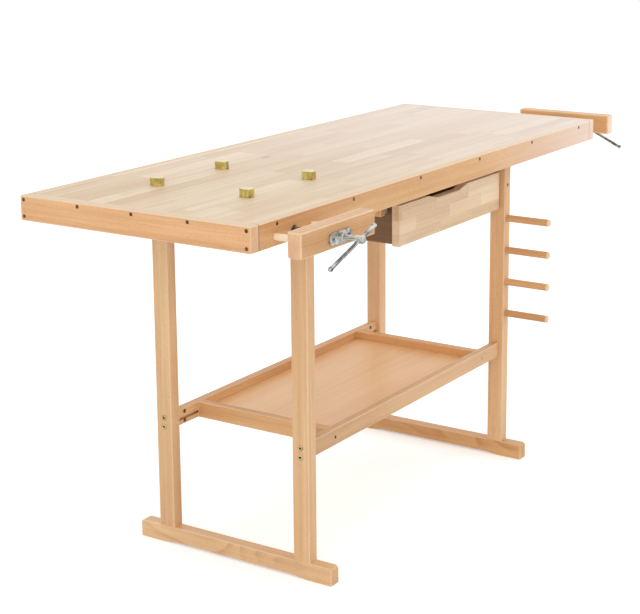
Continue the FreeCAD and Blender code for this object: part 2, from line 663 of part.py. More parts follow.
def make_slide(side, channel_name, rail_name):
    """The fixed channel on the hanger and the member that runs inside it on the drawer."""
    wall = DRAWER_X0 if side < 0 else DRAWER_X1
    back = 1 if side < 0 else -1
    lip_end = f"({wall} + {back} * (slide_room - slide_steel - slide_fit))"
    web = f"({wall} + {back} * slide_steel)"
    low, high = SLIDE_LOW, SLIDE_TOP
    channel = new_body(channel_name)
    grow(channel, "section", "+Y", SLIDE_Y0,
         [[(wall, low), (lip_end, low), (lip_end, f"({low} + slide_steel)"),
           (web, f"({low} + slide_steel)"), (web, f"({high} - slide_steel)"),
           (lip_end, f"({high} - slide_steel)"), (lip_end, high), (wall, high)]], SLIDE_LONG)
    face = f"({wall} + {back} * slide_room)"
    plate = f"({wall} + {back} * (slide_room - slide_steel))"
    tip = f"({wall} + {back} * (slide_steel + slide_reach))"
    low2 = f"({SLIDE_LOW} + slide_steel + slide_fit)"
    high2 = f"({SLIDE_TOP} - slide_steel - slide_fit)"
    rail = new_body(rail_name)
    grow(rail, "section", "+Y", SLIDE_Y0,
         [[(face, low2), (tip, low2), (tip, f"({low2} + slide_steel)"),
           (plate, f"({low2} + slide_steel)"), (plate, f"({high2} - slide_steel)"),
           (tip, f"({high2} - slide_steel)"), (tip, high2), (face, high2)]], SLIDE_LONG)


# ---------------------------------------------------------------------------
# Vises. A vise is drawn with +X the way its jaw opens, X = 0 at the face of the
# apron, Y = 0 and Z = 0 on the axis of its screw.
# ---------------------------------------------------------------------------


APRON_BACK = {"front": "(-apron_thick)", "tail": "(-end_apron_thick)"}


def vise_place(vise, turned="rotation(vector(0; 0; 1); 0)"):
    if vise == "front":
        base = f"vector({SHIFT_X} + {FACE_VISE_X}; {SHIFT_Y} - bench_width / 2; {SCREW_Z})"
        return f"placement({base}; rotation(vector(0; 0; 1); -90) * {turned})"
    base = f"vector({SHIFT_X} + bench_length / 2; {SHIFT_Y} + {TAIL_VISE_Y}; {SCREW_Z})"
    return f"placement({base}; {turned})"


def make_jaw(vise):
    jaw = new_body(f"{vise}_jaw", vise_place(vise))
    face = f"{vise}_opening"
    outside = f"({vise}_opening + jaw_thick)"
    half = f"({vise}_jaw_width / 2)"
    grow(jaw, "block", "+X", face,
         [rect(f"(-{half})", "(jaw_rise - jaw_high)", half, "jaw_rise")], "jaw_thick")
    soften(jaw, "long_edges", "Fillet", "jaw_round",
           lambda c, e: runs(e, "y") and (near(c.x, outside) or c.z < 0))
    soften(jaw, "end_edges", "Chamfer", "jaw_bevel",
           lambda c, e: near(abs(c.y), half) and not near(c.x, face))
    rods = [circle(f"({s} * rod_spread)", "0", "(rod_dia / 2 + joint_gap / 2)") for s in (-1, 1)]
    recess(jaw, "rod_sockets", "-X", face, rods, "rod_housed")
    recess(jaw, "screw_bore", "+X", outside,
           [circle("0", "0", "(screw_dia / 2 + screw_room)")], "jaw_thick")


def make_rods(vise):
    shapes = []
    for s in (-1, 1):
        spot = (f"({vise}_opening + rod_housed)", f"({s} * rod_spread)", "0")
        shapes.append(cylinder(f"{vise}_rod{s + 1}", "-X", spot, "rod_dia / 2", "rod_long"))
    group(f"{vise}_guide_rods", shapes, vise_place(vise))


def make_guide_block(vise):
    top = "(vise_drop - top_thick)"
    inside = APRON_BACK[vise]
    block = new_body(f"{vise}_guide_block", vise_place(vise))
    grow(block, "block", "-X", inside,
         [rect("(-block_width / 2)", f"({top} - block_high)", "(block_width / 2)", top)],
         "block_thick")
    soften(block, "low_edges", "Chamfer", "arris",
           lambda c, e: near(c.z, f"{top} - block_high"))
    bores = [circle(f"({s} * rod_spread)", "0", "(rod_dia / 2 + rod_fit)") for s in (-1, 1)]
    bores.append(circle("0", "0", "(screw_dia / 2 + screw_room)"))
    recess(block, "bores", "+X", inside, bores, "block_thick")


def make_nut(vise):
    top = "(vise_drop - top_thick)"
    block_back = f"({APRON_BACK[vise]} - block_thick)"
    nut = new_body(f"{vise}_nut", vise_place(vise))
    grow(nut, "block", "-X", block_back,
         [rect("(-nut_width / 2)", f"({top} - nut_high)", "(nut_width / 2)", top)], "nut_long")
    soften(nut, "low_corners", "Chamfer", "jaw_round",
           lambda c, e: runs(e, "x") and c.z < 0)
    recess(nut, "thread_bore", "+X", block_back,
           [circle("0", "0", "(screw_dia / 2 + screw_running)")], "nut_long")


def make_flange(vise):
    seat = f"({vise}_opening + jaw_thick)"
    face = f"({vise}_opening + jaw_thick + flange_thick)"
    flange = new_body(f"{vise}_jaw_flange", vise_place(vise))
    grow(flange, "plate", "+X", seat,
         [rect("(-flange_width / 2)", "(-flange_high / 2)", "(flange_width / 2)",
               "(flange_high / 2)")], "flange_thick")
    soften(flange, "corners", "Fillet", "flange_round", lambda c, e: runs(e, "x"))
    grow(flange, "boss", "+X", face, [circle("0", "0", "(boss_dia / 2)")], "boss_long")
    boss_end = f"({face} + boss_long)"
    recess(flange, "journal", "+X", boss_end,
           [circle("0", "0", "(neck_dia / 2 + screw_running)")], "(boss_long + flange_thick)")


def tilted(vise):
    return vise_place(vise, f"rotation(vector(1; 0; 0); {vise}_bar_tilt)")


def make_spindle(vise):
    """Thread, journal and hub in one turned piece, with the cross hole for the bar."""
    at = lambda text: f"({vise}_opening + {text})"
    seat = at("jaw_thick - shoulder_gap")
    boss = at("jaw_thick + flange_thick + boss_long + shoulder_gap")
    end = at("jaw_thick + flange_thick + boss_long + hub_long")
    collar = at("jaw_thick + flange_thick + boss_long + hub_collar")
    head = at("jaw_thick + flange_thick + boss_long + hub_long - 2 * hub_bar")
    spindle = new_body(f"{vise}_spindle", tilted(vise))
    inner = at("-screw_inner")
    profile = [
        (inner, "0"), (end, "0"), (end, "(hub_dia / 2 - hub_chamfer)"),
        (f"({end} - hub_chamfer)", "(hub_dia / 2)"), (head, "(hub_dia / 2)"),
        (head, "(hub_waist / 2)"), (collar, "(hub_base / 2)"),
        (boss, "(hub_base / 2)"), (boss, "(neck_dia / 2)"),
        (seat, "(neck_dia / 2)"), (seat, "(screw_dia / 2)"), (inner, "(screw_dia / 2)"),
    ]
    revolve(spindle, "turned", "X", ("0", "0"), profile)
    loops = [circle(f"({end} - hub_bar)", "0", "(bar_dia / 2 + bar_fit)")]
    recess(spindle, "bar_hole", "-Y", "(-hub_dia)", loops, "(2 * hub_dia)")


def make_bar(vise):
    """The tommy bar lies along Y before it is tilted, its lower end towards -Y."""
    along = f"({vise}_opening + jaw_thick + flange_thick + boss_long + hub_long - hub_bar)"
    half = "(bar_total / 2 - cap_long)"
    middle = f"(-{vise}_bar_slip)"
    bar = new_body(f"{vise}_tommy_bar", tilted(vise))
    revolve(bar, "turned", "Y", (along, "0"),
            [(f"({middle} - {half})", "0"), (f"({middle} + {half})", "0"),
             (f"({middle} + {half})", "(bar_dia / 2)"), (f"({middle} - {half})", "(bar_dia / 2)")])
    caps = []
    for s in (-1, 1):
        spot = (along, f"({middle} + {s} * {half})", "0")
        way = "-Y" if s < 0 else "+Y"
        caps.append(cylinder(f"{vise}_cap{s + 1}", way, spot, "cap_dia / 2", "cap_long"))
    group(f"{vise}_bar_caps", caps, tilted(vise))


# ---------------------------------------------------------------------------
# Bench dogs
# ---------------------------------------------------------------------------


def make_dog(name, x, y, flat_side):
    dog = new_body(name)
    low = "(bench_height - dog_shank_long)"
    seat = "(bench_height + dog_seat)"
    top = "(bench_height + dog_head_high)"
    profile = [(low, "0"), (low, "(dog_shank / 2)"), (seat, "(dog_shank / 2)"),
               (seat, "(dog_head / 2)"), (top, "(dog_head / 2)"), (top, "0")]
    revolve(dog, "turned", "Z", (x, y), profile)
    flat = f"({x} + {flat_side} * dog_flat)"
    wide = f"({x} + {flat_side} * dog_head)"
    a0, a1 = (wide, flat) if flat_side < 0 else (flat, wide)
    recess(dog, "gripping_flat", "+Z", f"({top} + 1)",
           [rect(a0, f"({y} - dog_head)", a1, f"({y} + dog_head)")], "(dog_head_high + 1 - dog_seat)")


# ---------------------------------------------------------------------------
# Build, check and write
# ---------------------------------------------------------------------------

make_worktop()
make_long_apron("front_apron", -1)
make_long_apron("back_apron", 1)
make_end_apron("left_end_apron", -1)
make_end_apron("right_end_apron", 1)
for word, side_x in (("left", -1), ("right", 1)):
    make_foot(f"{word}_foot", side_x)
    make_bearer(f"{word}_top_bearer", side_x)
    make_cross_rail(f"{word}_cross_rail", side_x)
    make_leg(f"front_{word}_leg", side_x, -1)
    make_leg(f"back_{word}_leg", side_x, 1)
make_shelf_rail("front_shelf_rail", -1)
make_shelf_rail("back_shelf_rail", 1)
make_shelf()
make_pegs()
make_drawer_front()
make_drawer_side("drawer_left_side", -1)
make_drawer_side("drawer_right_side", 1)
make_drawer_back()
make_drawer_bottom()
make_hanger("left_hanger", -1)
make_hanger("right_hanger", 1)
make_slide(-1, "left_slide_channel", "left_drawer_rail")
make_slide(1, "right_slide_channel", "right_drawer_rail")
for vise in ("front", "tail"):
    make_jaw(vise)
    make_rods(vise)
    make_guide_block(vise)
    make_nut(vise)
    make_flange(vise)
    make_spindle(vise)
    make_bar(vise)
for number, (x, y) in enumerate(DOGS, start=1):
    make_dog(f"bench_dog_{number}", x, y, -1)
doc.recompute()

for thing in doc.Objects:
    if {"Invalid", "Error"} & set(thing.State):
        raise RuntimeError(f"{thing.Name}: {thing.State}")
    if thing.TypeId == "Sketcher::SketchObject" and not thing.FullyConstrained:
        raise RuntimeError(f"{thing.Name} isn't fully constrained")
for piece in pieces:
    if piece.Shape.isNull() or not piece.Shape.isValid() or not piece.Shape.Solids:
        raise RuntimeError(f"{piece.Label}: bad shape")

os.makedirs("parts", exist_ok=True)
for piece in pieces:
    piece.Shape.exportStep(f"parts/{piece.Label}.step")

whole = Part.makeCompound([piece.Shape for piece in pieces]).BoundBox
print(len(pieces), "nodes; box", whole)
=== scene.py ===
# %% [markdown]
# # A joiner's bench, dressed
#
# The bench comes from the CAD model as a fixed frame: every board, rod and bar already has its true
# shape and place. This lesson gives it its looks. It sets the camera and the light, makes beech,
# glued-up staves, plywood, zinc and brass out of nodes, and adds what is too small for the CAD
# model: screws, bolts, the threads of the vise screws and the rounded ends of pegs and rods.
#
# Blender works in metres here, in the same frame as the CAD model, with Z up.

from math import cos, pi, radians, sin

import bmesh
import bpy
from mathutils import Matrix, Vector


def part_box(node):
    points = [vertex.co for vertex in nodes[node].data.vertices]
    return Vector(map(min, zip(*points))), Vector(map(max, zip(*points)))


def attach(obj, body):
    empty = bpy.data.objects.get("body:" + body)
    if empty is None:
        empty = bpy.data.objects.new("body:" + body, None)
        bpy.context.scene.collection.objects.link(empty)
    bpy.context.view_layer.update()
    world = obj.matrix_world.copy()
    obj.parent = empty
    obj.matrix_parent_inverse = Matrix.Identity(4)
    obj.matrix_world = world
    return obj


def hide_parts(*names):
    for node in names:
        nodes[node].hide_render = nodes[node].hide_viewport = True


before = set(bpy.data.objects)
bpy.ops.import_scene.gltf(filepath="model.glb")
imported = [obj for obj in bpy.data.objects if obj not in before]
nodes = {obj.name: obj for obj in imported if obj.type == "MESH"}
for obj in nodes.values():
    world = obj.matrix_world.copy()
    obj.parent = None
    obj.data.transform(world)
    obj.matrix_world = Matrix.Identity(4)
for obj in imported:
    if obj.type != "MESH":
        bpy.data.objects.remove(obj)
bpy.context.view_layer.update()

# %% [markdown]
# ## Where things are
#
# Everything that follows is placed from the boxes of the CAD nodes, so it stays right if a size of
# the bench changes. `low` and `high` give one corner of a node's box, and the middle of the worktop
# is the point that the screw rows are spaced from.

# %% Places taken from the frame
MM = 0.001


def low(name):
    return Vector(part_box(name)[0])


def high(name):
    return Vector(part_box(name)[1])


def middle(name):
    return (low(name) + high(name)) / 2


bench_x, bench_y, _ = middle("worktop_panel")
worktop_z = high("worktop_panel").z
print("worktop", [round(v, 4) for v in (bench_x, bench_y, worktop_z)])

# %% [markdown]
# ## Camera
#
# A long lens, set back and a little above the worktop, looks along the bench from its left front
# corner. The camera is turned by three angles, and its frame is shifted so that the bench sits in
# the picture without tilting its uprights further.

# %% Camera
YAW, PITCH, ROLL = radians(57.58), radians(-11.92), radians(0.22)
EYE = Vector((-3.2674, -1.9689, 1.5180))
SENSOR_MM = 36.0
LENS_MM = 90.73
SHIFT_RIGHT, SHIFT_UP = -0.0555, -0.1516


def new_object(name, data):
    """Make an object of this data and put it in the scene."""
    made = bpy.data.objects.new(name, data)
    bpy.context.scene.collection.objects.link(made)
    return made


def set_camera():
    forward = Vector((sin(YAW) * cos(PITCH), cos(YAW) * cos(PITCH), sin(PITCH)))
    level = Vector((cos(YAW), -sin(YAW), 0))
    right = level * cos(ROLL) - level.cross(forward) * sin(ROLL)
    up = right.cross(forward)
    lens = bpy.data.cameras.new("camera")
    lens.sensor_width, lens.lens = SENSOR_MM, LENS_MM
    lens.shift_x, lens.shift_y = SHIFT_RIGHT, SHIFT_UP
    lens.clip_end = 100
    camera = new_object("camera", lens)
    turned = Matrix((right, up, -forward)).transposed().to_4x4()
    camera.matrix_world = Matrix.Translation(EYE) @ turned
    bpy.context.scene.camera = camera
    return camera


camera = set_camera()
print("camera at", [round(v, 3) for v in camera.matrix_world.translation])

# %% [markdown]
# ## A short way to write node trees
#
# Materials and Geometry Nodes trees are long when each node takes five lines. `add` makes a node,
# sets its properties and its inputs, and links an input when the value it gets is a socket.
# `calc` is the same for one arithmetic node, and `mix` for one blend of two colours.

# %% Node helpers
def add(tree, kind, inputs=None, **settings):
    made = tree.nodes.new(kind)
    for name, value in settings.items():
        setattr(made, name, value)
    for name, value in (inputs or {}).items():
        if isinstance(value, bpy.types.NodeSocket):
            tree.links.new(value, made.inputs[name])
        else:
            made.inputs[name].default_value = value
    return made


def calc(tree, operation, a, b=0.0, c=0.0, clamp=False):
    values = {0: a, 1: b, 2: c}
    return add(tree, "ShaderNodeMath", values, operation=operation, use_clamp=clamp).outputs[0]


def mix(tree, factor, a, b, blend="MIX"):
    return add(tree, "ShaderNodeMix", {0: factor, 6: a, 7: b}, data_type="RGBA",
               blend_type=blend).outputs[2]


def move(tree, operation, a, b=(0, 0, 0), c=(0, 0, 0)):
    values = {0: a, 1: b, 2: c}
    return add(tree, "ShaderNodeVectorMath", values, operation=operation).outputs[0]


def noise(tree, vector, scale, detail=2.0, roughness=0.5):
    values = {"Vector": vector, "Scale": scale, "Detail": detail, "Roughness": roughness}
    return add(tree, "ShaderNodeTexNoise", values).outputs[0]


def between(tree, value, low_end, high_end, to_low=0.0, to_high=1.0):
    values = {0: value, 1: low_end, 2: high_end, 3: to_low, 4: to_high}
    return add(tree, "ShaderNodeMapRange", values, interpolation_type="SMOOTHSTEP").outputs[0]


def rgb(red, green, blue):
    """A colour written as a screen shows it, turned into the linear values that nodes take."""
    linear = [(c / 12.92 if c <= 0.04045 else ((c + 0.055) / 1.055) ** 2.4)
              for c in (red / 255, green / 255, blue / 255)]
    return (*linear, 1.0)


print("helpers ready")

# %% [markdown]
# ## Light, floor and background
#
# Product pictures of furniture are lit by large white panels, so that no face is dark and no edge
# throws a hard shadow. The world is a plain white dome that gives most of the light. One large soft
# panel stands on the left, one in front of the far end, and a weak one hangs over the worktop.
# The panels are hidden from glossy rays, so the varnish has no glare when seen from behind.
#
# The floor is nearly white, and what the camera sees of it gets a little extra, so that it meets
# the white background without a line while the shadow under the bench stays.

# %% World and panels
DOME_LIGHT = 0.80
BACKDROP = 1.0
PANELS = {  # name: place, the point it looks at, side in metres, power in watts
    "left_panel": ((-4.2, -1.6, 2.0), (0, 0, 0.6), 2.4, 34),
    "far_end_panel": ((1.6, -1.5, 1.3), (0.75, -0.25, 0.84), 1.0, 8),
    "top_panel": ((0.6, 0.4, 3.6), (0, 0, 0.8), 2.6, 14),
}


def set_world():
    world = bpy.data.worlds.new("white_dome")
    bpy.context.scene.world = world
    world.use_nodes = True
    tree = world.node_tree
    tree.nodes.clear()
    path = add(tree, "ShaderNodeLightPath")
    seen = calc(tree, "MAXIMUM", path.outputs["Is Camera Ray"], path.outputs["Is Glossy Ray"])
    seen = calc(tree, "MAXIMUM", seen, path.outputs["Is Transmission Ray"])
    strength = calc(tree, "MULTIPLY_ADD", seen, BACKDROP - DOME_LIGHT, DOME_LIGHT)
    dome = add(tree, "ShaderNodeBackground", {"Color": (1, 1, 1, 1), "Strength": strength})
    add(tree, "ShaderNodeOutputWorld", {0: dome.outputs[0]})


def add_panel(name, place, aim, size, watts):
    light = bpy.data.lights.new(name, "AREA")
    light.shape, light.size, light.energy = "SQUARE", size, watts
    panel = new_object(name, light)
    facing = (Vector(aim) - Vector(place)).to_track_quat("-Z", "Y").to_matrix().to_4x4()
    panel.matrix_world = Matrix.Translation(place) @ facing
    panel.visible_glossy = False


set_world()
for name, settings in PANELS.items():
    add_panel(name, *settings)
print("lights:", list(PANELS))

# %% Floor
FLOOR_SIZE = 60.0
FLOOR_DROP = 0.0002
FLOOR_GLOW = 0.40
FLOOR_COLOUR = (0.89, 0.91, 0.93, 1)


def make_floor():
    half = FLOOR_SIZE / 2
    mesh = bpy.data.meshes.new("floor")
    corners = [(-half, -half), (half, -half), (half, half), (-half, half)]
    mesh.from_pydata([(x, y, -FLOOR_DROP) for x, y in corners], [], [(0, 1, 2, 3)])
    paper = bpy.data.materials.new("pale_floor")
    paper.use_nodes = True
    tree = paper.node_tree
    tree.nodes.clear()
    path = add(tree, "ShaderNodeLightPath")
    matt = add(tree, "ShaderNodeBsdfDiffuse", {"Color": FLOOR_COLOUR})
    glow_strength = calc(tree, "MULTIPLY", path.outputs["Is Camera Ray"], FLOOR_GLOW)
    glow = add(tree, "ShaderNodeEmission", {"Strength": glow_strength})
    both = add(tree, "ShaderNodeAddShader", {0: matt.outputs[0], 1: glow.outputs[0]})
    add(tree, "ShaderNodeOutputMaterial", {0: both.outputs[0]})
    mesh.materials.append(paper)
    floor = new_object("floor", mesh)


make_floor()
print("floor", FLOOR_SIZE, "m across")

# %% [markdown]
# ## Beech
#
# Steamed beech is warm and even. Close up it has growth rings that show as long soft stripes, very
# fine fibres along the board, and short dark flecks. A picture of wood would be the quick way, but
# it repeats and stretches. Here the grain is worked out at every point instead.
#
# The grain group takes a point with its X along the board. It squeezes noise along X, which draws
# it out into fibres and flecks, and measures the distance from an axis beside the board, the heart
# of the tree, which gives the rings.

# %% The grain of a board
RING_WIDTH, RING_WANDER, RING_UNEVENNESS = 0.0062, 0.09, 3.0
RING_SHARPNESS, RING_BREAK, RING_FADE = 2.2, (0.82, 1.0), (0.35, 0.65)
FLECK_CUT, FLECK_SHADE = (0.62, 0.7), (0.52, 0.40, 0.30, 1)
BASE_SHADE, RING_SHARE, STREAK_SHARE, FIBRE_SHARE = 0.18, 0.7, 0.9, 0.5
SMOOTHEST, ROUGHER = 0.34, 0.22
RING_HEIGHT, FLECK_HEIGHT = 0.35, -0.5
GRAIN_SCALES = {  # how often each pattern changes per metre, along the board and across it
    "cloud": (1.6, 14, 14), "bend": (1.8, 5, 5), "fade": (3, 30, 30),
    "fibre": (9, 480, 480), "streak": (2.6, 95, 95), "fleck": (210, 1500, 1500),
}


def make_grain_group():
    group = bpy.data.node_groups.new("board_grain", "ShaderNodeTree")
    face = group.interface
    face.new_socket("Point", in_out="INPUT", socket_type="NodeSocketVector")
    for name, value in (("Rings", 0.5), ("Flecks", 0.5), ("Tone", 0.5)):
        face.new_socket(name, in_out="INPUT", socket_type="NodeSocketFloat").default_value = value
    for name in ("Light", "Dark"):
        face.new_socket(name, in_out="INPUT", socket_type="NodeSocketColor")
    face.new_socket("Colour", in_out="OUTPUT", socket_type="NodeSocketColor")
    face.new_socket("Roughness", in_out="OUTPUT", socket_type="NodeSocketFloat")
    face.new_socket("Height", in_out="OUTPUT", socket_type="NodeSocketFloat")
    given = add(group, "NodeGroupInput").outputs

    def pattern(name, detail=2.0, roughness=0.5):
        squeezed = move(group, "MULTIPLY", given["Point"], GRAIN_SCALES[name])
        return noise(group, squeezed, 1.0, detail, roughness)

    cloud = pattern("cloud", 3.0)
    split = add(group, "ShaderNodeSeparateXYZ", {0: given["Point"]}).outputs
    across = calc(group, "MULTIPLY_ADD", pattern("bend"), RING_WANDER, split[1])
    flat = add(group, "ShaderNodeCombineXYZ", {1: across, 2: split[2]}).outputs[0]
    from_heart = add(group, "ShaderNodeVectorMath", {0: flat}, operation="LENGTH").outputs[1]
    out_along = add(group, "ShaderNodeCombineXYZ", {0: from_heart}).outputs[0]
    spacing = noise(group, out_along, 45.0, 1.0)
    years = calc(group, "DIVIDE", from_heart, RING_WIDTH)
    turn = calc(group, "FRACT", calc(group, "MULTIPLY_ADD", spacing, RING_UNEVENNESS, years))
    ring = calc(group, "POWER", turn, RING_SHARPNESS)
    ring = calc(group, "SUBTRACT", ring, between(group, turn, *RING_BREAK))
    ring = calc(group, "MULTIPLY", ring, between(group, pattern("fade"), *RING_FADE))

    fibre = pattern("fibre", 3.0, 0.6)
    streak = pattern("streak", 3.0)
    fleck = between(group, pattern("fleck", 1.0), *FLECK_CUT)

    shade = calc(group, "MULTIPLY_ADD", between(group, cloud, 0.3, 0.7), given["Tone"], BASE_SHADE)
    rings = calc(group, "MULTIPLY", ring, given["Rings"])
    shade = calc(group, "MULTIPLY_ADD", rings, RING_SHARE, shade)
    streak = calc(group, "SUBTRACT", streak, 0.5)
    shade = calc(group, "MULTIPLY_ADD", streak, STREAK_SHARE, shade)
    uneven = calc(group, "SUBTRACT", fibre, 0.5)
    shade = calc(group, "MULTIPLY_ADD", uneven, FIBRE_SHARE, shade, clamp=True)
    colour = mix(group, shade, given["Light"], given["Dark"])
    dark_fleck = calc(group, "MULTIPLY", fleck, given["Flecks"])
    colour = mix(group, dark_fleck, colour, FLECK_SHADE, "MULTIPLY")

    rough = calc(group, "MULTIPLY_ADD", fibre, ROUGHER, SMOOTHEST)
    height = calc(group, "MULTIPLY_ADD", ring, RING_HEIGHT, fibre)
    height = calc(group, "MULTIPLY_ADD", fleck, FLECK_HEIGHT, height)
    add(group, "NodeGroupOutput", {"Colour": colour, "Roughness": rough, "Height": height})
    return group


board_grain = make_grain_group()
print("grain group:", len(board_grain.nodes), "nodes")

# %% [markdown]
# ## Edge highlights, sawn ends, joints, sheen and glare
#
# A few things set a used board off from a plain block. Its edges get a pale painted highlight,
# where light catches the arris. Its sawn ends take up more finish, so most of them are darker, and
# a few end faces get a pale painted highlight. Where it butts against another board there is a thin
# dark line. Faces that look up get a pale painted sheen, and the wood gets a painted glare that
# makes it paler towards the right end of the bench.
#
# Each of these is a mask, a number from 0 to 1 that is worked out from the place of a point. The
# second smallest distance to the faces of the board's box is the distance to its nearest edge, and
# the surface normal says which way a face looks.

# %% Masks
# The pale band along the edges of each board is a painted highlight, where light catches the arris.
EDGE_HIGHLIGHT, EDGE_HIGHLIGHT_WIDTH, HIGHLIGHT_PATCHES = 0.55, 0.0032, 38.0
JOINT_LINE, JOINT_STRENGTH = (0.0012, 0.0026), 0.8
# Where the painted glare, a paleness towards the right end of the bench, reaches full strength.
GLARE_END = 0.8
FACING_BLEND = 0.15


def edge_distance(tree, place, corner_low, corner_high):
    from_low = move(tree, "SUBTRACT", place, corner_low)
    below = add(tree, "ShaderNodeSeparateXYZ", {0: from_low}).outputs
    from_high = move(tree, "SUBTRACT", corner_high, place)
    above = add(tree, "ShaderNodeSeparateXYZ", {0: from_high}).outputs
    x, y, z = (calc(tree, "ABSOLUTE", calc(tree, "MINIMUM", below[i], above[i])) for i in range(3))
    smaller, larger = calc(tree, "MINIMUM", x, y), calc(tree, "MAXIMUM", x, y)
    return calc(tree, "MAXIMUM", smaller, calc(tree, "MINIMUM", larger, z))


def edge_highlight_mask(tree, place, name, strength, width=EDGE_HIGHLIGHT_WIDTH):
    """Strength of the painted edge highlight at the point, from 0 to `strength`, broken up so that
    no edge is a ruled line.
    """
    distance = edge_distance(tree, place, low(name), high(name))
    patchy = noise(tree, place, HIGHLIGHT_PATCHES, 3.0, 0.65)
    reach = calc(tree, "MULTIPLY_ADD", patchy, width, width * 0.35)
    inside = calc(tree, "SUBTRACT", 1.0, calc(tree, "DIVIDE", distance, reach), clamp=True)
    return calc(tree, "MULTIPLY", between(tree, inside, 0.0, 0.7), strength)


def facing(tree, axis, sign=0, reach=0.8):
    """1 where the surface looks along the axis, both ways if sign is 0. A small reach takes in
    the bevels as well."""
    normal = add(tree, "ShaderNodeTexCoord").outputs["Normal"]
    part = add(tree, "ShaderNodeSeparateXYZ", {0: normal}).outputs["xyz".index(axis)]
    part = calc(tree, "ABSOLUTE", part) if sign == 0 else calc(tree, "MULTIPLY", part, sign)
    return between(tree, part, reach, reach + FACING_BLEND)


def joint_shade(tree, place, name):
    """JOINT_STRENGTH in the last millimetre or two at both ends of a board along X, 0 elsewhere."""
    run = add(tree, "ShaderNodeSeparateXYZ", {0: place}).outputs[0]
    to_end = calc(tree, "MINIMUM", calc(tree, "SUBTRACT", run, low(name).x),
                  calc(tree, "SUBTRACT", high(name).x, run))
    return between(tree, to_end, *JOINT_LINE, JOINT_STRENGTH, 0.0)


def far_end_glare(tree, place, strength, start):
    """Painted glare: 0 up to `start` metres right of the bench's middle, rising to `strength` at
    its right end.
    """
    along = add(tree, "ShaderNodeSeparateXYZ", {0: place}).outputs[0]
    return between(tree, along, bench_x + start, bench_x + GLARE_END, 0.0, strength)


print("masks ready")

# %% [markdown]
# ## Boards
#
# Every board gets a material of its own, so that no two show the same grain. A Mapping node turns
# the grain along the board and moves the heart of the tree to a place that depends on the board's
# number. Wood under a thin clear finish has a weak second gloss over it, which is the coat.

# %% Board materials
TURN_TO_GRAIN = {"x": (0, 0, 0), "y": (0, 0, -pi / 2), "z": (0, pi / 2, 0)}
BEECH_LIGHT, BEECH_DARK = rgb(240, 192, 136), rgb(207, 147, 90)
PALE_LIGHT, PALE_DARK = rgb(243, 203, 154), rgb(216, 166, 116)
BEECH_EDGE_HIGHLIGHT = rgb(252, 218, 180)
BEECH_END = (0.95, 0.90, 0.85, 1)
# The pale end colour and the table below paint a highlight on the end faces of these boards, where
# light falls on them.
END_FACE_HIGHLIGHT = rgb(248, 226, 204)
LIT_END_FACES = {"tail_jaw": 0.8, "front_jaw": 0.2, "left_end_apron": 0.22, "right_end_apron": 0.5}
JOINT_DARK = rgb(132, 90, 54)
TOP_LIGHT, TOP_DARK = rgb(244, 226, 198), rgb(219, 189, 151)
# The pale colour of the painted glare towards the right end, and where that glare starts.
GLARE_COLOUR = rgb(242, 232, 232)
GLARE_START = {"apron": 0.05, "top": -0.75}
GRAIN_DEPTH = 0.00022
# TIP_HIGHLIGHT_SPAN and TIP_HIGHLIGHT_STRENGTH paint a pale highlight band at the tips of the tool
# pegs.
TIP_HIGHLIGHT_SPAN, TIP_HIGHLIGHT_STRENGTH = (0.0028, 0.0052), 0.7
made_boards = []


def scatter(number):
    """A value from 0 to 1 that differs from board to board, and is always the same for one."""
    return (number * 0.618) % 1


def heart_place(number):
    """Where the heart of the tree lies beside board `number`: 60 to 180 mm off, on any side."""
    angle = number * 2.4
    reach = 0.06 + 0.12 * scatter(number)
    return (number * 1.37, reach * cos(angle), reach * sin(angle))


def finish_wood(material, colour, rough, height, coat):
    tree = material.node_tree
    bump = add(tree, "ShaderNodeBump", {"Height": height, "Distance": GRAIN_DEPTH,
                                        "Strength": 0.6})
    wood = add(tree, "ShaderNodeBsdfPrincipled", {
        "Base Color": colour, "Roughness": rough, "Normal": bump.outputs[0],
        "Coat Weight": coat, "Coat Roughness": 0.3, "IOR": 1.5})
    add(tree, "ShaderNodeOutputMaterial", {0: wood.outputs[0]})
    return material


def new_material(name):
    material = bpy.data.materials.new(name)
    material.use_nodes = True
    material.node_tree.nodes.clear()
    return material, material.node_tree


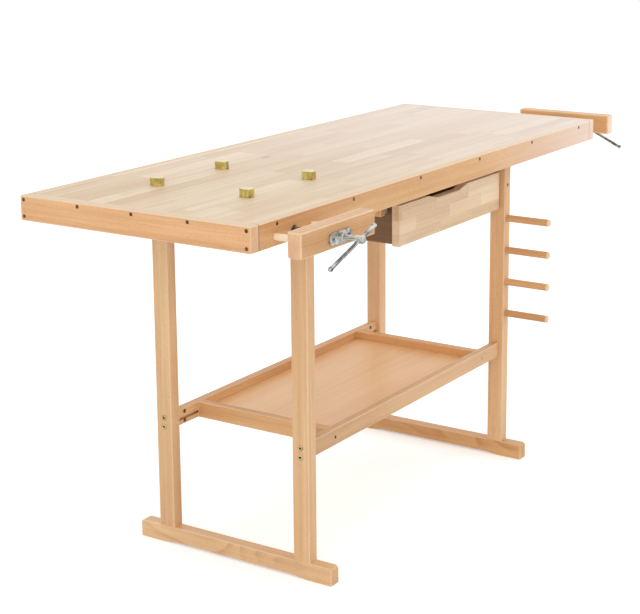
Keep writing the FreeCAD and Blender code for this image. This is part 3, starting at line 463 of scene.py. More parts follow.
def board(name, along, light=BEECH_LIGHT, dark=BEECH_DARK, rings=0.4, flecks=0.5, tone=0.5,
          coat=0.12, edge_light=EDGE_HIGHLIGHT, edge_light_width=EDGE_HIGHLIGHT_WIDTH, ends=True, top_sheen=0.0, end_glare=0.0,
          tip_highlight=None, butted=False):
    material, tree = new_material("wood_" + name)
    made_boards.append(name)
    number = len(made_boards)
    place = add(tree, "ShaderNodeTexCoord").outputs["Object"]
    turned = add(tree, "ShaderNodeMapping", {"Vector": place, "Rotation": TURN_TO_GRAIN[along],
                                             "Location": heart_place(number)}).outputs[0]
    own = 0.965 + 0.06 * scatter(number)
    grain = add(tree, "ShaderNodeGroup", {
        "Point": turned, "Light": [c * own for c in light[:3]] + [1],
        "Dark": [c * own for c in dark[:3]] + [1], "Rings": rings, "Flecks": flecks,
        "Tone": tone}, node_tree=board_grain)
    colour = grain.outputs["Colour"]
    # Painted sheen: faces that look up are made paler, as if the white sky showed in their finish.
    if top_sheen:
        fibre = calc(tree, "MULTIPLY", grain.outputs["Roughness"], 1.4)
        sheen_colour = mix(tree, fibre, TOP_LIGHT, TOP_DARK)
        upper = calc(tree, "MULTIPLY", facing(tree, "z", 1, 0.5), top_sheen)
        colour = mix(tree, upper, colour, sheen_colour)
    # Painted highlight: the end faces of these boards are made paler.
    if name in LIT_END_FACES:
        sawn = calc(tree, "MULTIPLY", facing(tree, along), LIT_END_FACES[name])
        colour = mix(tree, sawn, colour, END_FACE_HIGHLIGHT)
    elif ends:
        colour = mix(tree, facing(tree, along), colour, BEECH_END, "MULTIPLY")
    # Painted glare: the board gets paler towards the right end of the bench.
    if end_glare:
        colour = mix(tree, far_end_glare(tree, place, end_glare, GLARE_START["apron"]), colour, GLARE_COLOUR)
    # Painted highlight: a pale band along the edges of the board.
    if edge_light:
        colour = mix(tree, edge_highlight_mask(tree, place, name, edge_light, edge_light_width), colour, BEECH_EDGE_HIGHLIGHT)
    if butted:
        colour = mix(tree, joint_shade(tree, place, name), colour, JOINT_DARK)
    # Painted highlight: a pale band near the tip of each peg.
    if tip_highlight is not None:
        run = add(tree, "ShaderNodeSeparateXYZ", {0: place}).outputs[1]
        start, stop = (tip_highlight + depth for depth in TIP_HIGHLIGHT_SPAN)
        tip = between(tree, run, start, stop, TIP_HIGHLIGHT_STRENGTH, 0.0)
        colour = mix(tree, tip, colour, BEECH_EDGE_HIGHLIGHT)
    height = grain.outputs["Height"]
    return finish_wood(material, colour, grain.outputs["Roughness"], height, coat)


def dress(name, material):
    """Give a CAD node a material, in every slot that its mesh has."""
    mesh = nodes[name].data
    if not mesh.materials:
        mesh.materials.append(material)
    for slot in nodes[name].material_slots:
        slot.material = material


BOARDS = {
    "x": ["front_apron", "back_apron", "front_shelf_rail", "back_shelf_rail", "front_jaw",
          "front_guide_block"],
    "y": ["left_end_apron", "right_end_apron", "left_foot", "right_foot", "left_top_bearer",
          "right_top_bearer", "left_cross_rail", "right_cross_rail", "left_hanger", "right_hanger",
          "tail_jaw", "tail_guide_block"],
    "z": ["front_left_leg", "back_left_leg", "front_right_leg", "back_right_leg"],
}
# How strongly the upward faces of each kind get the painted sheen.
TOP_SHEEN = {"apron": 0.88, "jaw": 0.2, "foot": 0.15}
EDGE_HIGHLIGHTS = {"jaw": (0.8, 0.0044), "apron": (0.6, EDGE_HIGHLIGHT_WIDTH)}
RINGS = {"foot": 1.3}
KIND_TINTS = {"leg": (PALE_LIGHT, PALE_DARK), "foot": (PALE_LIGHT, PALE_DARK)}
TINTS = {
    "left_end_apron": (rgb(250, 200, 145), rgb(216, 155, 101)),
    "right_foot": (BEECH_LIGHT, BEECH_DARK),
    "front_shelf_rail": (rgb(232, 190, 141), rgb(200, 153, 106)),
    "back_shelf_rail": (rgb(240, 196, 144), rgb(206, 156, 106)),
    "front_jaw": (rgb(236, 185, 129), rgb(202, 141, 84)),
}
# Strength of the painted glare at the right end, for each board.
GLARE_BY_BOARD = {"front_apron": 0.5, "back_apron": 0.4, "right_end_apron": 0.3}
BUTTED = ("front_apron", "back_apron")
for along, names in BOARDS.items():
    for name in names:
        kind = name.split("_")[-1]
        light, dark = TINTS.get(name, KIND_TINTS.get(kind, (BEECH_LIGHT, BEECH_DARK)))
        edge_light, edge_light_width = EDGE_HIGHLIGHTS.get(kind, (EDGE_HIGHLIGHT, EDGE_HIGHLIGHT_WIDTH))
        dress(name, board(name, along, light, dark, rings=RINGS.get(kind, 0.45), edge_light=edge_light,
                          edge_light_width=edge_light_width, top_sheen=TOP_SHEEN.get(kind, 0.0),
                          end_glare=GLARE_BY_BOARD.get(name, 0.0), butted=name in BUTTED))
print("beech boards:", len(made_boards))

# %% [markdown]
# ## Glued-up staves
#
# The worktop and the drawer front are made of many short strips, glued side by side and end to end.
# Each strip, or stave, has its own tone and grain. A floor of the position gives the number of the
# row and of the stave in it, and white noise turns the two numbers into a tone, always the same one
# for the same stave. Thin lines darken where two staves meet.

# %% Staves
GLUE_LINE, GLUE_STRENGTH, GLUE_HEIGHT = 0.0006, 0.22, -0.8
GLUE_SHADE = (0.45, 0.33, 0.22, 1)
STAVE_DARK = rgb(200, 160, 118)
STAVE_SHIFT = (9, 0.2, 0.2)
KNOT_COLOUR, KNOT_STRENGTH = rgb(150, 108, 74), 0.8


def stave_parts(tree, point, width, length, seed):
    """Tone of the stave at the point, darkness of the glue line, and the point moved per stave."""
    split = add(tree, "ShaderNodeSeparateXYZ", {0: point}).outputs
    rows = calc(tree, "DIVIDE", split[1], width)
    row = calc(tree, "ADD", calc(tree, "FLOOR", rows), seed)
    start = add(tree, "ShaderNodeTexWhiteNoise", {"W": row}, noise_dimensions="1D").outputs[0]
    run = calc(tree, "MULTIPLY_ADD", start, 7.0, calc(tree, "DIVIDE", split[0], length))
    number = calc(tree, "FLOOR", run)
    pair = add(tree, "ShaderNodeCombineXYZ", {0: row, 1: number}).outputs[0]
    dice = add(tree, "ShaderNodeTexWhiteNoise", {"Vector": pair}, noise_dimensions="2D").outputs
    edge_y = calc(tree, "MULTIPLY", calc(tree, "PINGPONG", rows, 0.5), width)
    edge_x = calc(tree, "MULTIPLY", calc(tree, "PINGPONG", run, 0.5), length)
    edge = calc(tree, "MINIMUM", edge_x, edge_y)
    seam = between(tree, edge, GLUE_LINE * 0.4, GLUE_LINE, 1.0, 0.0)
    return dice["Value"], seam, move(tree, "MULTIPLY_ADD", dice["Color"], STAVE_SHIFT, point)


def knot_mark(tree, place, spot, size):
    """A small dark knot: 1 in its middle, with a weak ring round it."""
    away = move(tree, "MULTIPLY", move(tree, "SUBTRACT", place, spot), (0.45, 1, 0))
    ragged = noise(tree, place, 160.0, 2.0)
    reach = add(tree, "ShaderNodeVectorMath", {0: away}, operation="LENGTH").outputs[1]
    reach = calc(tree, "DIVIDE", reach, calc(tree, "MULTIPLY_ADD", ragged, size, size * 0.6))
    heart = between(tree, reach, 0.25, 0.8, 1.0, 0.0)
    halo = between(tree, reach, 1.0, 2.6, 0.35, 0.0)
    return calc(tree, "MAXIMUM", heart, halo)


def staves(name, along, width, length, light, dark, seed=0, turn=None, coat=0.12, contrast=0.5,
           knot=None, edge_light=0.0, end_glare=0.0):
    material, tree = new_material(name + "_staves")
    place = add(tree, "ShaderNodeTexCoord").outputs["Object"]
    turned = add(tree, "ShaderNodeMapping", {"Vector": place,
                                             "Rotation": turn or TURN_TO_GRAIN[along]}).outputs[0]
    tone, seam, moved = stave_parts(tree, turned, width, length, seed)
    spread = calc(tree, "MULTIPLY", tone, contrast)
    grain = add(tree, "ShaderNodeGroup", {
        "Point": moved, "Light": mix(tree, spread, light, dark),
        "Dark": mix(tree, spread, dark, STAVE_DARK), "Rings": 0.4, "Flecks": 0.3, "Tone": 0.4},
        node_tree=board_grain)
    dark_seam = calc(tree, "MULTIPLY", seam, GLUE_STRENGTH)
    colour = mix(tree, dark_seam, grain.outputs["Colour"], GLUE_SHADE)
    # Painted glare: the panel gets paler towards the right end of the bench.
    if end_glare:
        colour = mix(tree, far_end_glare(tree, place, end_glare, GLARE_START["top"]), colour, GLARE_COLOUR)
    if knot:
        mark = calc(tree, "MULTIPLY", knot_mark(tree, place, *knot), KNOT_STRENGTH)
        colour = mix(tree, mark, colour, KNOT_COLOUR)
    # Painted highlight: a pale band along the edges of the panel.
    if edge_light:
        colour = mix(tree, edge_highlight_mask(tree, place, name, edge_light), colour, BEECH_EDGE_HIGHLIGHT)
    height = calc(tree, "MULTIPLY_ADD", seam, GLUE_HEIGHT, grain.outputs["Height"])
    return finish_wood(material, colour, grain.outputs["Roughness"], height, coat)


DRAWER_LIGHT, DRAWER_DARK = rgb(255, 235, 202), rgb(235, 199, 156)
UPRIGHT = (-pi / 2, 0, 0)
TOP_STAVE, DRAWER_STAVE = (0.043, 0.37), (0.033, 0.16)
KNOT = ((bench_x - 0.146, bench_y + 0.122, worktop_z), 0.004)
dress("worktop_panel", staves("worktop_panel", "x", *TOP_STAVE, TOP_LIGHT, TOP_DARK, seed=3,
                              contrast=0.65, knot=KNOT, end_glare=0.45, coat=0.05))
dress("drawer_front", staves("drawer_front", "x", *DRAWER_STAVE, DRAWER_LIGHT, DRAWER_DARK,
                             seed=11, turn=UPRIGHT, contrast=0.8, edge_light=0.45))
print("stave materials made")

# %% [markdown]
# ## Plywood and dark drawer sides
#
# The shelf is thin plywood: one wide sheet of veneer with a slow, broad figure and a satin
# varnish. The drawer box behind the pale front is stained dark brown.

# %% Plywood
PLY_LIGHT, PLY_DARK = rgb(255, 215, 164), rgb(239, 190, 136)
STAIN_LIGHT, STAIN_DARK = rgb(138, 102, 62), rgb(94, 66, 38)
RAMIN_LIGHT, RAMIN_DARK = rgb(253, 238, 206), rgb(240, 213, 170)

dress("shelf_panel", board("shelf_panel", "x", PLY_LIGHT, PLY_DARK, rings=0.15, flecks=0.1,
                           tone=0.3, coat=0.35, edge_light=0, ends=False))
dress("drawer_bottom", board("drawer_bottom", "x", PLY_LIGHT, PLY_DARK, rings=0.3, edge_light=0,
                             ends=False))
for name, along in (("drawer_left_side", "y"), ("drawer_right_side", "y"), ("drawer_back", "x")):
    dress(name, board(name, along, STAIN_LIGHT, STAIN_DARK, rings=0.3, flecks=0.2, edge_light=0.12))
print("boards in all:", len(made_boards))

# %% [markdown]
# ## Zinc, brass and painted steel
#
# The vise parts are turned steel with a zinc coat: grey, drawn into long pale and dark streaks
# along each bar, with fine marks from the lathe. On the bars the streaks are partly zinc and partly
# painted reflection, the bright and dark lines that a round bar shows. The bench dogs and the leg
# bolts are brass, dulled by fingers, and the tops of the dogs get a painted sheen. The drawer
# slides are white painted sheet. Streaks need noise that is squeezed along the part's own axis. The
# axis may lie at any angle, so the length along it is taken out with a dot product, instead of
# turning the whole pattern.

# %% Metals
CLOUD_SCALE, MARK_SCALE, MARK_DEPTH = 60.0, 900.0, 0.00004


def drawn_out(tree, place, axis, keep):
    """The point with its distance along `axis` shortened to `keep` times itself."""
    axis = Vector(axis).normalized()
    run = add(tree, "ShaderNodeVectorMath", {0: place, 1: axis}, operation="DOT_PRODUCT").outputs[1]
    back = add(tree, "ShaderNodeVectorMath", {0: axis, 3: calc(tree, "MULTIPLY", run, keep - 1)},
               operation="SCALE").outputs[0]
    return move(tree, "ADD", place, back)


def metal(name, light, dark, rough_low, rough_high, axis=(0, 0, 1), keep=1.0, scale=260.0,
          metallic=1.0, coat=0.0, lit_top=None):
    material, tree = new_material(name)
    place = add(tree, "ShaderNodeTexCoord").outputs["Object"]
    streaks = noise(tree, drawn_out(tree, place, axis, keep), scale, 3.0, 0.6)
    cloud = noise(tree, place, CLOUD_SCALE, 3.0)
    marks = noise(tree, place, MARK_SCALE, 2.0, 0.7)
    shade = calc(tree, "MULTIPLY_ADD", cloud, 0.35, calc(tree, "MULTIPLY", streaks, 0.65))
    colour = mix(tree, between(tree, shade, 0.42, 0.58), light, dark)
    # Painted sheen: faces that look up are made paler.
    if lit_top:
        upper = calc(tree, "MULTIPLY", facing(tree, "z", 1, 0.6), 0.75)
        colour = mix(tree, upper, colour, lit_top)
    rough = between(tree, marks, 0.3, 0.7, rough_low, rough_high)
    bump = add(tree, "ShaderNodeBump", {"Height": marks, "Distance": MARK_DEPTH, "Strength": 0.4})
    shader = add(tree, "ShaderNodeBsdfPrincipled", {
        "Base Color": colour, "Roughness": rough, "Normal": bump.outputs[0], "Metallic": metallic,
        "Coat Weight": coat})
    add(tree, "ShaderNodeOutputMaterial", {0: shader.outputs[0]})
    return material


ZINC_LIGHT, ZINC_DARK, ZINC_CLOUD = rgb(224, 226, 220), rgb(92, 92, 86), rgb(156, 156, 150)
BRASS_LIGHT, BRASS_DARK = rgb(222, 210, 142), rgb(194, 174, 100)
FRONT_TILT, TAIL_TILT = radians(19.5), radians(26)
FRONT_BAR_AXIS = (cos(FRONT_TILT), 0, sin(FRONT_TILT))
TAIL_BAR_AXIS = (0, cos(TAIL_TILT), sin(TAIL_TILT))
BRIGHT = (0.2, 0.36)
# On the bars, the strong pale and dark streaks are partly zinc and partly painted reflection.
BAR_STREAK_AND_REFLECTION, SCREW_STREAK = 0.03, 0.08
zinc = {
    "front_bar": metal("zinc_front_bar", ZINC_LIGHT, ZINC_DARK, *BRIGHT, FRONT_BAR_AXIS,
                       BAR_STREAK_AND_REFLECTION),
    "tail_bar": metal("zinc_tail_bar", ZINC_LIGHT, ZINC_DARK, *BRIGHT, TAIL_BAR_AXIS, BAR_STREAK_AND_REFLECTION),
    "front": metal("zinc_front_screw", ZINC_LIGHT, ZINC_CLOUD, *BRIGHT, (0, 1, 0), SCREW_STREAK),
    "tail": metal("zinc_tail_screw", ZINC_LIGHT, ZINC_CLOUD, *BRIGHT, (1, 0, 0), SCREW_STREAK),
    "plate": metal("zinc_plate", ZINC_LIGHT, ZINC_CLOUD, 0.24, 0.4, scale=90.0),
}
# The last, pale colour is a painted sheen on the tops of the dogs.
brass = metal("dull_brass", BRASS_LIGHT, BRASS_DARK, 0.24, 0.42, (0, 0, 1), 0.5, scale=130.0,
              lit_top=rgb(240, 236, 204))
bolt_brass = metal("bolt_brass", rgb(232, 214, 150), rgb(192, 166, 104), 0.22, 0.4, scale=300.0)
# Dark steel for the threads is painted shade: the thread sits in the shade between the jaw and the
# apron. The flange screws use it too.
dark_thread_steel = metal("dark_thread_steel", rgb(150, 150, 144), rgb(70, 68, 62), 0.25, 0.45, scale=200.0)
# A brown disc under each leg bolt is painted shade: the shaded recess that the bolt head sits in.
recess_shade_paint = metal("recess_shade_paint", rgb(176, 132, 88), rgb(128, 92, 58), 0.5, 0.7, scale=400.0,
                   metallic=0.0)
dark_steel = metal("dark_screw_steel", rgb(116, 80, 50), rgb(70, 46, 28), 0.4, 0.55, scale=400.0,
                   metallic=0.1)
slide_paint = metal("slide_paint", rgb(232, 232, 228), rgb(222, 222, 216), 0.35, 0.5, metallic=0.0,
                    coat=0.2)
for vise in ("front", "tail"):
    dress(f"{vise}_nut", zinc["plate"])
    dress(f"{vise}_tommy_bar", zinc[vise + "_bar"])
for name in nodes:
    if "slide_channel" in name or name.endswith("drawer_rail"):
        dress(name, slide_paint)
print("metals made")

# %% [markdown]
# ## Rounded ends
#
# Pegs, guide rods, bar caps, dogs and jaw flanges are rounded or broken at their sharp edges, by a
# millimetre or two. The CAD model leaves them sharp, but they are what catches the light. Each of
# these is copied from the CAD model, welded, because the loose triangles of such a mesh share no
# corners, and its chosen edges are bevelled. The copy then stands in for the CAD part.

# %% Copies with rounded edges
WELD = 2e-6
SHARP = radians(34)
CORNER = radians(40)
ROUNDING_MM = {"peg": 2.2, "rod": 1.5, "cap": 1.4, "flange": 0.6, "dog": 1.3, "hub": 0.5}


def welded_copy(name):
    work = bmesh.new()
    work.from_mesh(nodes[name].data)
    work.transform(nodes[name].matrix_world)
    bmesh.ops.remove_doubles(work, verts=work.verts, dist=WELD)
    bmesh.ops.dissolve_limit(work, angle_limit=radians(1), verts=work.verts, edges=work.edges)
    return work


def round_edges(work, width, steps, pick=lambda a, b: True):
    edges = [edge for edge in work.edges
             if len(edge.link_faces) == 2 and edge.is_convex
             and edge.calc_face_angle() > CORNER and pick(edge.verts[0].co, edge.verts[1].co)]
    bmesh.ops.bevel(work, geom=edges, offset=width, segments=steps, profile=0.5, affect="EDGES",
                    clamp_overlap=True)
    return len(edges)


def finish_piece(name, work, material, body, replaced=()):
    bmesh.ops.recalc_face_normals(work, faces=work.faces)
    mesh = bpy.data.meshes.new(name)
    work.to_mesh(mesh)
    work.free()
    mesh.materials.clear()
    mesh.materials.append(material)
    for polygon in mesh.polygons:
        polygon.use_smooth = True
        polygon.material_index = 0
    mesh.set_sharp_from_angle(angle=SHARP)
    piece = new_object(name, mesh)
    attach(piece, body)
    if replaced:
        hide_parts(*replaced)
    return piece


def rounded(node, material, body, kind, steps=2, pick=lambda a, b: True):
    work = welded_copy(node)
    count = round_edges(work, ROUNDING_MM[kind] * MM, steps, pick)
    piece = finish_piece("rounded_" + node, work, material, body, [node])
    print(f"{piece.name}: {count} edges, {len(piece.data.polygons)} faces")


peg_tip = low("tool_pegs").y
PEG_LIGHT, PEG_DARK = rgb(236, 186, 130), rgb(203, 147, 98)
peg_wood = board("tool_pegs", "y", PEG_LIGHT, PEG_DARK, edge_light=0, tip_highlight=peg_tip)
rounded("tool_pegs", peg_wood, "bench", "peg", 3,
        lambda a, b: max(a.y, b.y) < peg_tip + 1e-5)
RODS = {"front": "y", "tail": "x"}
BODY = {"front": "face_vise", "tail": "tail_vise"}
for vise, along in RODS.items():
    rods = board(f"{vise}_guide_rods", along, RAMIN_LIGHT, RAMIN_DARK, rings=0.2, flecks=0.2,
                 edge_light=0)
    rounded(f"{vise}_guide_rods", rods, BODY[vise] + "_jaw", "rod")
    rounded(f"{vise}_bar_caps", zinc[vise + "_bar"], BODY[vise] + "_bar", "cap", 3)
    rounded(f"{vise}_jaw_flange", zinc["plate"], BODY[vise] + "_jaw", "flange")
dog_top = high("bench_dog_1").z
for number in range(1, 5):
    rounded(f"bench_dog_{number}", brass, f"dog_{number}", "dog",
            pick=lambda a, b: min(a.z, b.z) > dog_top - 1e-4)

# %% [markdown]
# ## Threads of the vise screws
#
# The CAD model has a plain cylinder where the screw is threaded. A thread follows a rule, so it is
# made by Geometry Nodes: take a finely divided cylinder, and pull each point in or out by how far
# it is along the pitch, less its angle round the axis. The ridge has a flat crest and a flat root,
# as the square-like thread of a bench screw does. It starts thin at the free end and runs out full
# at the plain neck.

# %% Thread tree
AROUND, RINGS_PER_TURN = 28, 10
FLANK = (0.16, 0.30)  # where the ridge rises, in turns from the middle of the groove
LEAD_IN, RUN_OUT = (0.2, 1.6), (0.3, 0.6)  # in turns from the free end, and from the neck


def make_thread_tree():
    tree = bpy.data.node_groups.new("vise_thread", "GeometryNodeTree")
    face = tree.interface
    face.new_socket("Geometry", in_out="INPUT", socket_type="NodeSocketGeometry")
    for name, value in (("Length", 0.27), ("Root Radius", 0.006), ("Crest Radius", 0.008),
                        ("Pitch", 0.005)):
        face.new_socket(name, in_out="INPUT", socket_type="NodeSocketFloat").default_value = value
    face.new_socket("Finish", in_out="INPUT", socket_type="NodeSocketMaterial")
    face.new_socket("Geometry", in_out="OUTPUT", socket_type="NodeSocketGeometry")
    given = add(tree, "NodeGroupInput").outputs
    turns = calc(tree, "DIVIDE", given["Length"], given["Pitch"])
    rod = add(tree, "GeometryNodeMeshCylinder", {
        "Vertices": AROUND, "Side Segments": calc(tree, "MULTIPLY", turns, RINGS_PER_TURN),
        "Radius": given["Crest Radius"], "Depth": given["Length"]},
        fill_type="NGON").outputs["Mesh"]
    split = add(tree, "ShaderNodeSeparateXYZ",
                {0: add(tree, "GeometryNodeInputPosition").outputs[0]}).outputs
    angle = calc(tree, "DIVIDE", calc(tree, "ARCTAN2", split[1], split[0]), 2 * pi)
    phase = calc(tree, "SUBTRACT", calc(tree, "DIVIDE", split[2], given["Pitch"]), angle)
    ridge = calc(tree, "PINGPONG", calc(tree, "FRACT", phase), 0.5)
    ridge = between(tree, ridge, *FLANK)
    half = calc(tree, "MULTIPLY", given["Length"], 0.5)
    from_start = calc(tree, "DIVIDE", calc(tree, "ADD", split[2], half), given["Pitch"])
    to_neck = calc(tree, "DIVIDE", calc(tree, "SUBTRACT", half, split[2]), given["Pitch"])
    ridge = calc(tree, "MULTIPLY", ridge, between(tree, from_start, *LEAD_IN))
    ridge = calc(tree, "MAXIMUM", ridge, between(tree, to_neck, *RUN_OUT, 1.0, 0.0))
    root = calc(tree, "DIVIDE", given["Root Radius"], given["Crest Radius"])
    grow = calc(tree, "MULTIPLY_ADD", ridge, calc(tree, "SUBTRACT", 1.0, root), root)
    new_place = add(tree, "ShaderNodeCombineXYZ", {
        0: calc(tree, "MULTIPLY", split[0], grow), 1: calc(tree, "MULTIPLY", split[1], grow),
        2: split[2]}).outputs[0]
    cut = add(tree, "GeometryNodeSetPosition", {"Geometry": rod, "Position": new_place}).outputs[0]
    real = add(tree, "GeometryNodeRealizeInstances", {"Geometry": cut}).outputs[0]
    coated = add(tree, "GeometryNodeSetMaterial", {"Geometry": real, "Material": given["Finish"]})
    add(tree, "NodeGroupOutput", {0: coated.outputs[0]})
    return tree


def grown_mesh(name, tree, start_mesh, **values):
    """Run a Geometry Nodes tree on a mesh with these inputs, and keep the result as a mesh."""
    holder = new_object(name + "_holder", start_mesh)
    modifier = holder.modifiers.new(name, "NODES")
    modifier.node_group = tree
    sockets = {item.name: item.identifier for item in tree.interface.items_tree
               if item.item_type == "SOCKET" and item.in_out == "INPUT"}
    for key, value in values.items():
        modifier[sockets[key.replace("_", " ")]] = value
    graph = bpy.context.evaluated_depsgraph_get()
    made = bpy.data.meshes.new_from_object(holder.evaluated_get(graph), depsgraph=graph)
    holder.modifiers.clear()
    bpy.data.objects.remove(holder)
    made.name = name
    return made


thread_tree = make_thread_tree()
print("thread tree:", len(thread_tree.nodes), "nodes")

# %% [markdown]
# The threaded part and the turned hub are two pieces on one body, because the thread is painted
# dark, a painted shade for the gap between the jaw and the apron where it sits, and the hub is
# bright. The hub is the CAD spindle's own front end, cut off by a plane just inside the jaw and
# closed again, so its cross hole and tapered waist stay as they were.

# %% Screws of the two vises
THREAD_PITCH = 0.005
ROOT_RADIUS, CREST_RADIUS = 0.0059, 0.008
HUB_CUT = 3 * MM


def make_screw(vise, way):
    """Cut the hub off the spindle and grow a thread behind it. `way` points out of the vise."""
    node, jaw, way = f"{vise}_spindle", f"{vise}_jaw", Vector(way)
    inner_end = min(low(node).dot(way), high(node).dot(way))
    cut_at = min(low(jaw).dot(way), high(jaw).dot(way)) + HUB_CUT
    axis_point = middle(node) - way * middle(node).dot(way)
    work = welded_copy(node)
    bmesh.ops.bisect_plane(work, geom=work.verts[:] + work.edges[:] + work.faces[:], dist=1e-7,
                           plane_co=axis_point + way * cut_at, plane_no=way, clear_inner=True)
    bmesh.ops.holes_fill(work, edges=[e for e in work.edges if len(e.link_faces) == 1], sides=0)
    round_edges(work, ROUNDING_MM["hub"] * MM, 2,
                lambda a, b: min(a.dot(way), b.dot(way)) > cut_at + 1e-4)
    length = cut_at - inner_end
    thread = grown_mesh("thread", thread_tree, bpy.data.meshes.new("empty"), Length=length,
                        Root_Radius=ROOT_RADIUS, Crest_Radius=CREST_RADIUS, Pitch=THREAD_PITCH,
                        Finish=dark_thread_steel)
    spot = axis_point + way * (inner_end + length / 2)
    thread.transform(Matrix.Translation(spot) @ way.to_track_quat("Z", "Y").to_matrix().to_4x4())
    finish_piece(f"{vise}_screw_hub", work, zinc[vise], BODY[vise] + "_screw", [node])
    shell = bmesh.new()
    shell.from_mesh(thread)
    piece = finish_piece(f"{vise}_screw_thread", shell, dark_thread_steel, BODY[vise] + "_screw",
                         [node])
    print(f"{piece.name}: {length / THREAD_PITCH:.1f} turns, {len(piece.data.polygons)} faces")


make_screw("front", (0, -1, 0))
make_screw("tail", (1, 0, 0))

# %% [markdown]
# ## Screws and bolts
#
# The bench is held by dark cross-headed screws through the aprons, brass hexagon-socket bolts that
# run through the legs into barrel nuts in the long rails, and small screws in the rails and
# flanges. All heads are made by one function: a low dome with a socket sunk in it. Geometry Nodes
# then sets one on every marked point, turned to look out of the wood, and spun by a random angle
# with a fixed seed, because nobody lines up screw slots.

# %% Heads
def socket_outline(shape, size):
    if shape == "cross":
        arm, width = size, size * 0.26
        quarter = [(width, arm), (width, width), (arm, width)]
        corners = quarter + [(x, -y) for x, y in reversed(quarter)]
        corners += [(-x, -y) for x, y in quarter]
        corners += [(-x, y) for x, y in reversed(quarter)]
        return corners
    if shape == "slot":
        half = size * 0.16
        return [(size, half), (size, -half), (-size, -half), (-size, half)]
    return [(size * sin(k * pi / 3), size * cos(k * pi / 3)) for k in range(6)]


def head_mesh(name, radius, height, shape, size, depth, sides=20):
    """A fastener head about Z: its rim starts just under the wood, its socket looks up."""
    work = bmesh.new()
    rings = [(1.0, -0.15), (1.0, 0.45), (0.94, 0.75), (0.8, 1.0)]
    turns = [2 * pi * k / sides for k in range(sides)]
    loops = [[work.verts.new((radius * r * sin(turn), radius * r * cos(turn), height * h))
              for turn in turns] for r, h in rings]
    for lower, upper in zip(loops, loops[1:]):
        for k in range(sides):
            n = (k + 1) % sides
            work.faces.new((lower[k], lower[n], upper[n], upper[k]))
    work.faces.new(loops[0])
    outline = socket_outline(shape, size)
    rim = [work.verts.new((x, y, height)) for x, y in outline]
    floor_loop = [work.verts.new((x * 0.9, y * 0.9, height - depth)) for x, y in outline]
    top = loops[-1]
    edges = [work.edges.get((top[k], top[(k + 1) % sides])) for k in range(sides)]
    edges += [work.edges.new((rim[k], rim[(k + 1) % len(rim)])) for k in range(len(rim))]
    bmesh.ops.triangle_fill(work, use_beauty=True, edges=edges, normal=(0, 0, 1))
    for k in range(len(rim)):
        n = (k + 1) % len(rim)
        work.faces.new((rim[k], rim[n], floor_loop[n], floor_loop[k]))
    work.faces.new(floor_loop)
    bmesh.ops.recalc_face_normals(work, faces=work.faces)
    mesh = bpy.data.meshes.new(name)
    work.to_mesh(mesh)
    work.free()
    return mesh


HEAD_SIZES_MM = {  # name: radius, height, socket, size of the socket, its depth
    "apron_screw": (4.1, 0.2, "cross", 2.4, 0.14),
    "shelf_screw": (3.6, 0.7, "cross", 2.1, 0.6),
    # A flat disc under each leg bolt, painted as the shade of its recess.
    "bolt_ring": (6.6, 0.3, "hexagon", 4.0, 0.2),
    "leg_bolt": (5.9, 1.3, "hexagon", 2.9, 1.2),
    "barrel_nut": (5.0, 0.5, "slot", 3.6, 0.4),
    "flange_screw": (3.4, 1.2, "cross", 2.0, 1.0),
}
HEADS = {name: head_mesh(name + "_head", radius * MM, height * MM, socket, size * MM, depth * MM)
         for name, (radius, height, socket, size, depth) in HEAD_SIZES_MM.items()}
print("heads:", {name: len(mesh.polygons) for name, mesh in HEADS.items()})

# %% Tree that sets the heads
def make_heads_tree():
    tree = bpy.data.node_groups.new("set_heads", "GeometryNodeTree")
    face = tree.interface
    face.new_socket("Geometry", in_out="INPUT", socket_type="NodeSocketGeometry")
    face.new_socket("Head", in_out="INPUT", socket_type="NodeSocketObject")
    face.new_socket("Size", in_out="INPUT", socket_type="NodeSocketFloat").default_value = 1.0
    face.new_socket("Seed", in_out="INPUT", socket_type="NodeSocketInt").default_value = 1
    face.new_socket("Finish", in_out="INPUT", socket_type="NodeSocketMaterial")
    face.new_socket("Geometry", in_out="OUTPUT", socket_type="NodeSocketGeometry")
    given = add(tree, "NodeGroupInput").outputs
    look = add(tree, "GeometryNodeInputNamedAttribute", {"Name": "facing"},
               data_type="FLOAT_VECTOR")
    aim = add(tree, "FunctionNodeAlignRotationToVector", {"Vector": look.outputs["Attribute"]},
              axis="Z")
    dice = add(tree, "FunctionNodeRandomValue", {2: 0.0, 3: pi, 8: given["Seed"]},
               data_type="FLOAT")
    spin = add(tree, "FunctionNodeAxisAngleToRotation",
               {"Axis": (0, 0, 1), "Angle": dice.outputs[1]})
    turn = add(tree, "FunctionNodeRotateRotation", {0: aim.outputs[0], 1: spin.outputs[0]},
               rotation_space="LOCAL")
    head = add(tree, "GeometryNodeObjectInfo", {"Object": given["Head"]},
               transform_space="ORIGINAL")
    spread = add(tree, "GeometryNodeInstanceOnPoints", {
        "Points": given["Geometry"], "Instance": head.outputs["Geometry"],
        "Rotation": turn.outputs[0], "Scale": given["Size"]})
    real = add(tree, "GeometryNodeRealizeInstances", {"Geometry": spread.outputs[0]})
    coated = add(tree, "GeometryNodeSetMaterial", {"Geometry": real.outputs[0],
                                                   "Material": given["Finish"]})
    add(tree, "NodeGroupOutput", {0: coated.outputs[0]})
    return tree


heads_tree = make_heads_tree()


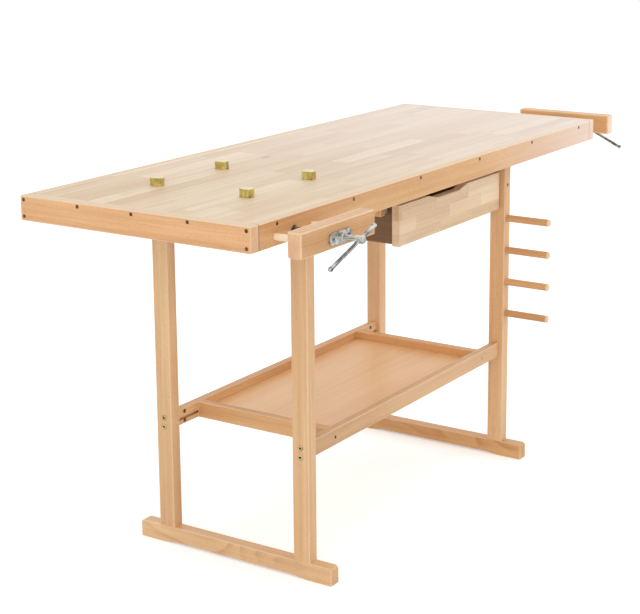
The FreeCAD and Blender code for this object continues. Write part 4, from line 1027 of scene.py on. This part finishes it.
def set_heads(name, kind, spots, material, body, seed):
    marks = bpy.data.meshes.new(name + "_marks")
    marks.from_pydata([place for place, way in spots], [], [])
    look = marks.attributes.new("facing", "FLOAT_VECTOR", "POINT")
    for value, (place, way) in zip(look.data, spots):
        value.vector = way
    head = new_object(kind + "_pattern", HEADS[kind])
    made = grown_mesh(name, heads_tree, marks, Head=head, Size=1.0, Seed=seed, Finish=material)
    bpy.data.objects.remove(head)
    work = bmesh.new()
    work.from_mesh(made)
    piece = finish_piece(name, work, material, body)
    print(f"{name}: {len(spots)} heads, {len(piece.data.polygons)} faces")


print("heads tree:", len(heads_tree.nodes), "nodes")

# %% [markdown]
# The rows of screws are spaced from the middle of the bench. Each place is a point on the outside
# of a board and the way that the head looks.

# %% Rows of fasteners
LONG_ROW_MM, LONG_ROW_SHIFT_MM = (138, 414, 690), 4
END_ROW_MM = (-144, -3, 138)
LONG_ROW_DROP, END_ROW_DROP, CORNER_DROPS = 0.009, 0.0075, (0.0085, 0.0435)
CORNER_SCREW_Y = 0.285
BOLT_RISE = 10.5 * MM
NUT_X, SHELF_SCREW_X = 0.405, 0.344
FLANGE_SCREW_REACH, FLANGE_THICK = 28 * MM, 4 * MM
LEG_SCREW_DROP = 0.133


def apron_spots():
    front, back = low("front_apron").y, high("back_apron").y
    left, right = low("left_end_apron").x, high("right_end_apron").x
    long_row = [bench_x + (s * x - LONG_ROW_SHIFT_MM) * MM for x in LONG_ROW_MM for s in (-1, 1)]
    spots = [((x, front, worktop_z - LONG_ROW_DROP), (0, -1, 0)) for x in long_row]
    spots += [((x, back, worktop_z - LONG_ROW_DROP), (0, 1, 0)) for x in long_row]
    for x, way in ((left, -1), (right, 1)):
        spots += [((x, bench_y + y * MM, worktop_z - END_ROW_DROP), (way, 0, 0))
                  for y in END_ROW_MM]
        spots += [((x, bench_y + s * CORNER_SCREW_Y, worktop_z - drop), (way, 0, 0))
                  for s in (-1, 1) for drop in CORNER_DROPS]
    return spots


def bolt_spots():
    rail_z = middle("front_shelf_rail").z
    outer = [(low("front_left_leg").x, -1), (high("front_right_leg").x, 1)]
    rows = [middle("front_shelf_rail").y, middle("back_shelf_rail").y]
    return [((x, y, rail_z + s * BOLT_RISE), (way, 0, 0)) for x, way in outer for y in rows
            for s in (-1, 1)]


def nut_spots():
    rail_z = middle("front_shelf_rail").z
    rows = [(high("front_shelf_rail").y, 1), (low("back_shelf_rail").y, -1)]
    return [((bench_x + side * NUT_X, y, rail_z + s * BOLT_RISE), (0, way, 0)) for y, way in rows
            for side in (-1, 1) for s in (-1, 1)]


def shelf_spots(side):
    rail_z = middle("front_shelf_rail").z
    rows = [(low("front_shelf_rail").y, -1), (high("back_shelf_rail").y, 1)]
    return [((bench_x + side * SHELF_SCREW_X, y, rail_z), (0, way, 0)) for y, way in rows]


def flange_spots(vise, way):
    node, way = f"{vise}_jaw_flange", Vector(way)
    across = Vector((abs(way.y), abs(way.x), 0))
    back = min(low(node).dot(way), high(node).dot(way))
    spot = middle(node)
    face = spot - way * spot.dot(way) + way * (back + FLANGE_THICK)
    return [(tuple(face + across * s * FLANGE_SCREW_REACH), tuple(way)) for s in (-1, 1)]


leg_place = (middle("front_right_leg").x, low("front_right_leg").y, worktop_z - LEG_SCREW_DROP)
leg_spots = [(leg_place, (0, -1, 0))]
set_heads("apron_screws", "apron_screw", apron_spots() + leg_spots, dark_steel, "bench", 5)
# Brown discs under the leg bolts: painted shade of the recesses.
set_heads("bolt_rings", "bolt_ring", bolt_spots(), recess_shade_paint, "bench", 6)
set_heads("leg_bolts", "leg_bolt", bolt_spots(), bolt_brass, "bench", 7)
set_heads("barrel_nuts", "barrel_nut", nut_spots(), dark_steel, "bench", 8)
set_heads("shelf_screws_left", "shelf_screw", shelf_spots(-1), dark_steel, "bench", 9)
set_heads("shelf_screws_right", "shelf_screw", shelf_spots(1), bolt_brass, "bench", 10)
set_heads("front_flange_screws", "flange_screw", flange_spots("front", (0, -1, 0)), dark_thread_steel,
          "face_vise_jaw", 11)
set_heads("tail_flange_screws", "flange_screw", flange_spots("tail", (1, 0, 0)), dark_thread_steel,
          "tail_vise_jaw", 12)

# %% [markdown]
# ## Finish
#
# The colours are shown through the Standard view transform.

# %% View transform
bpy.context.scene.view_settings.view_transform = "Standard"
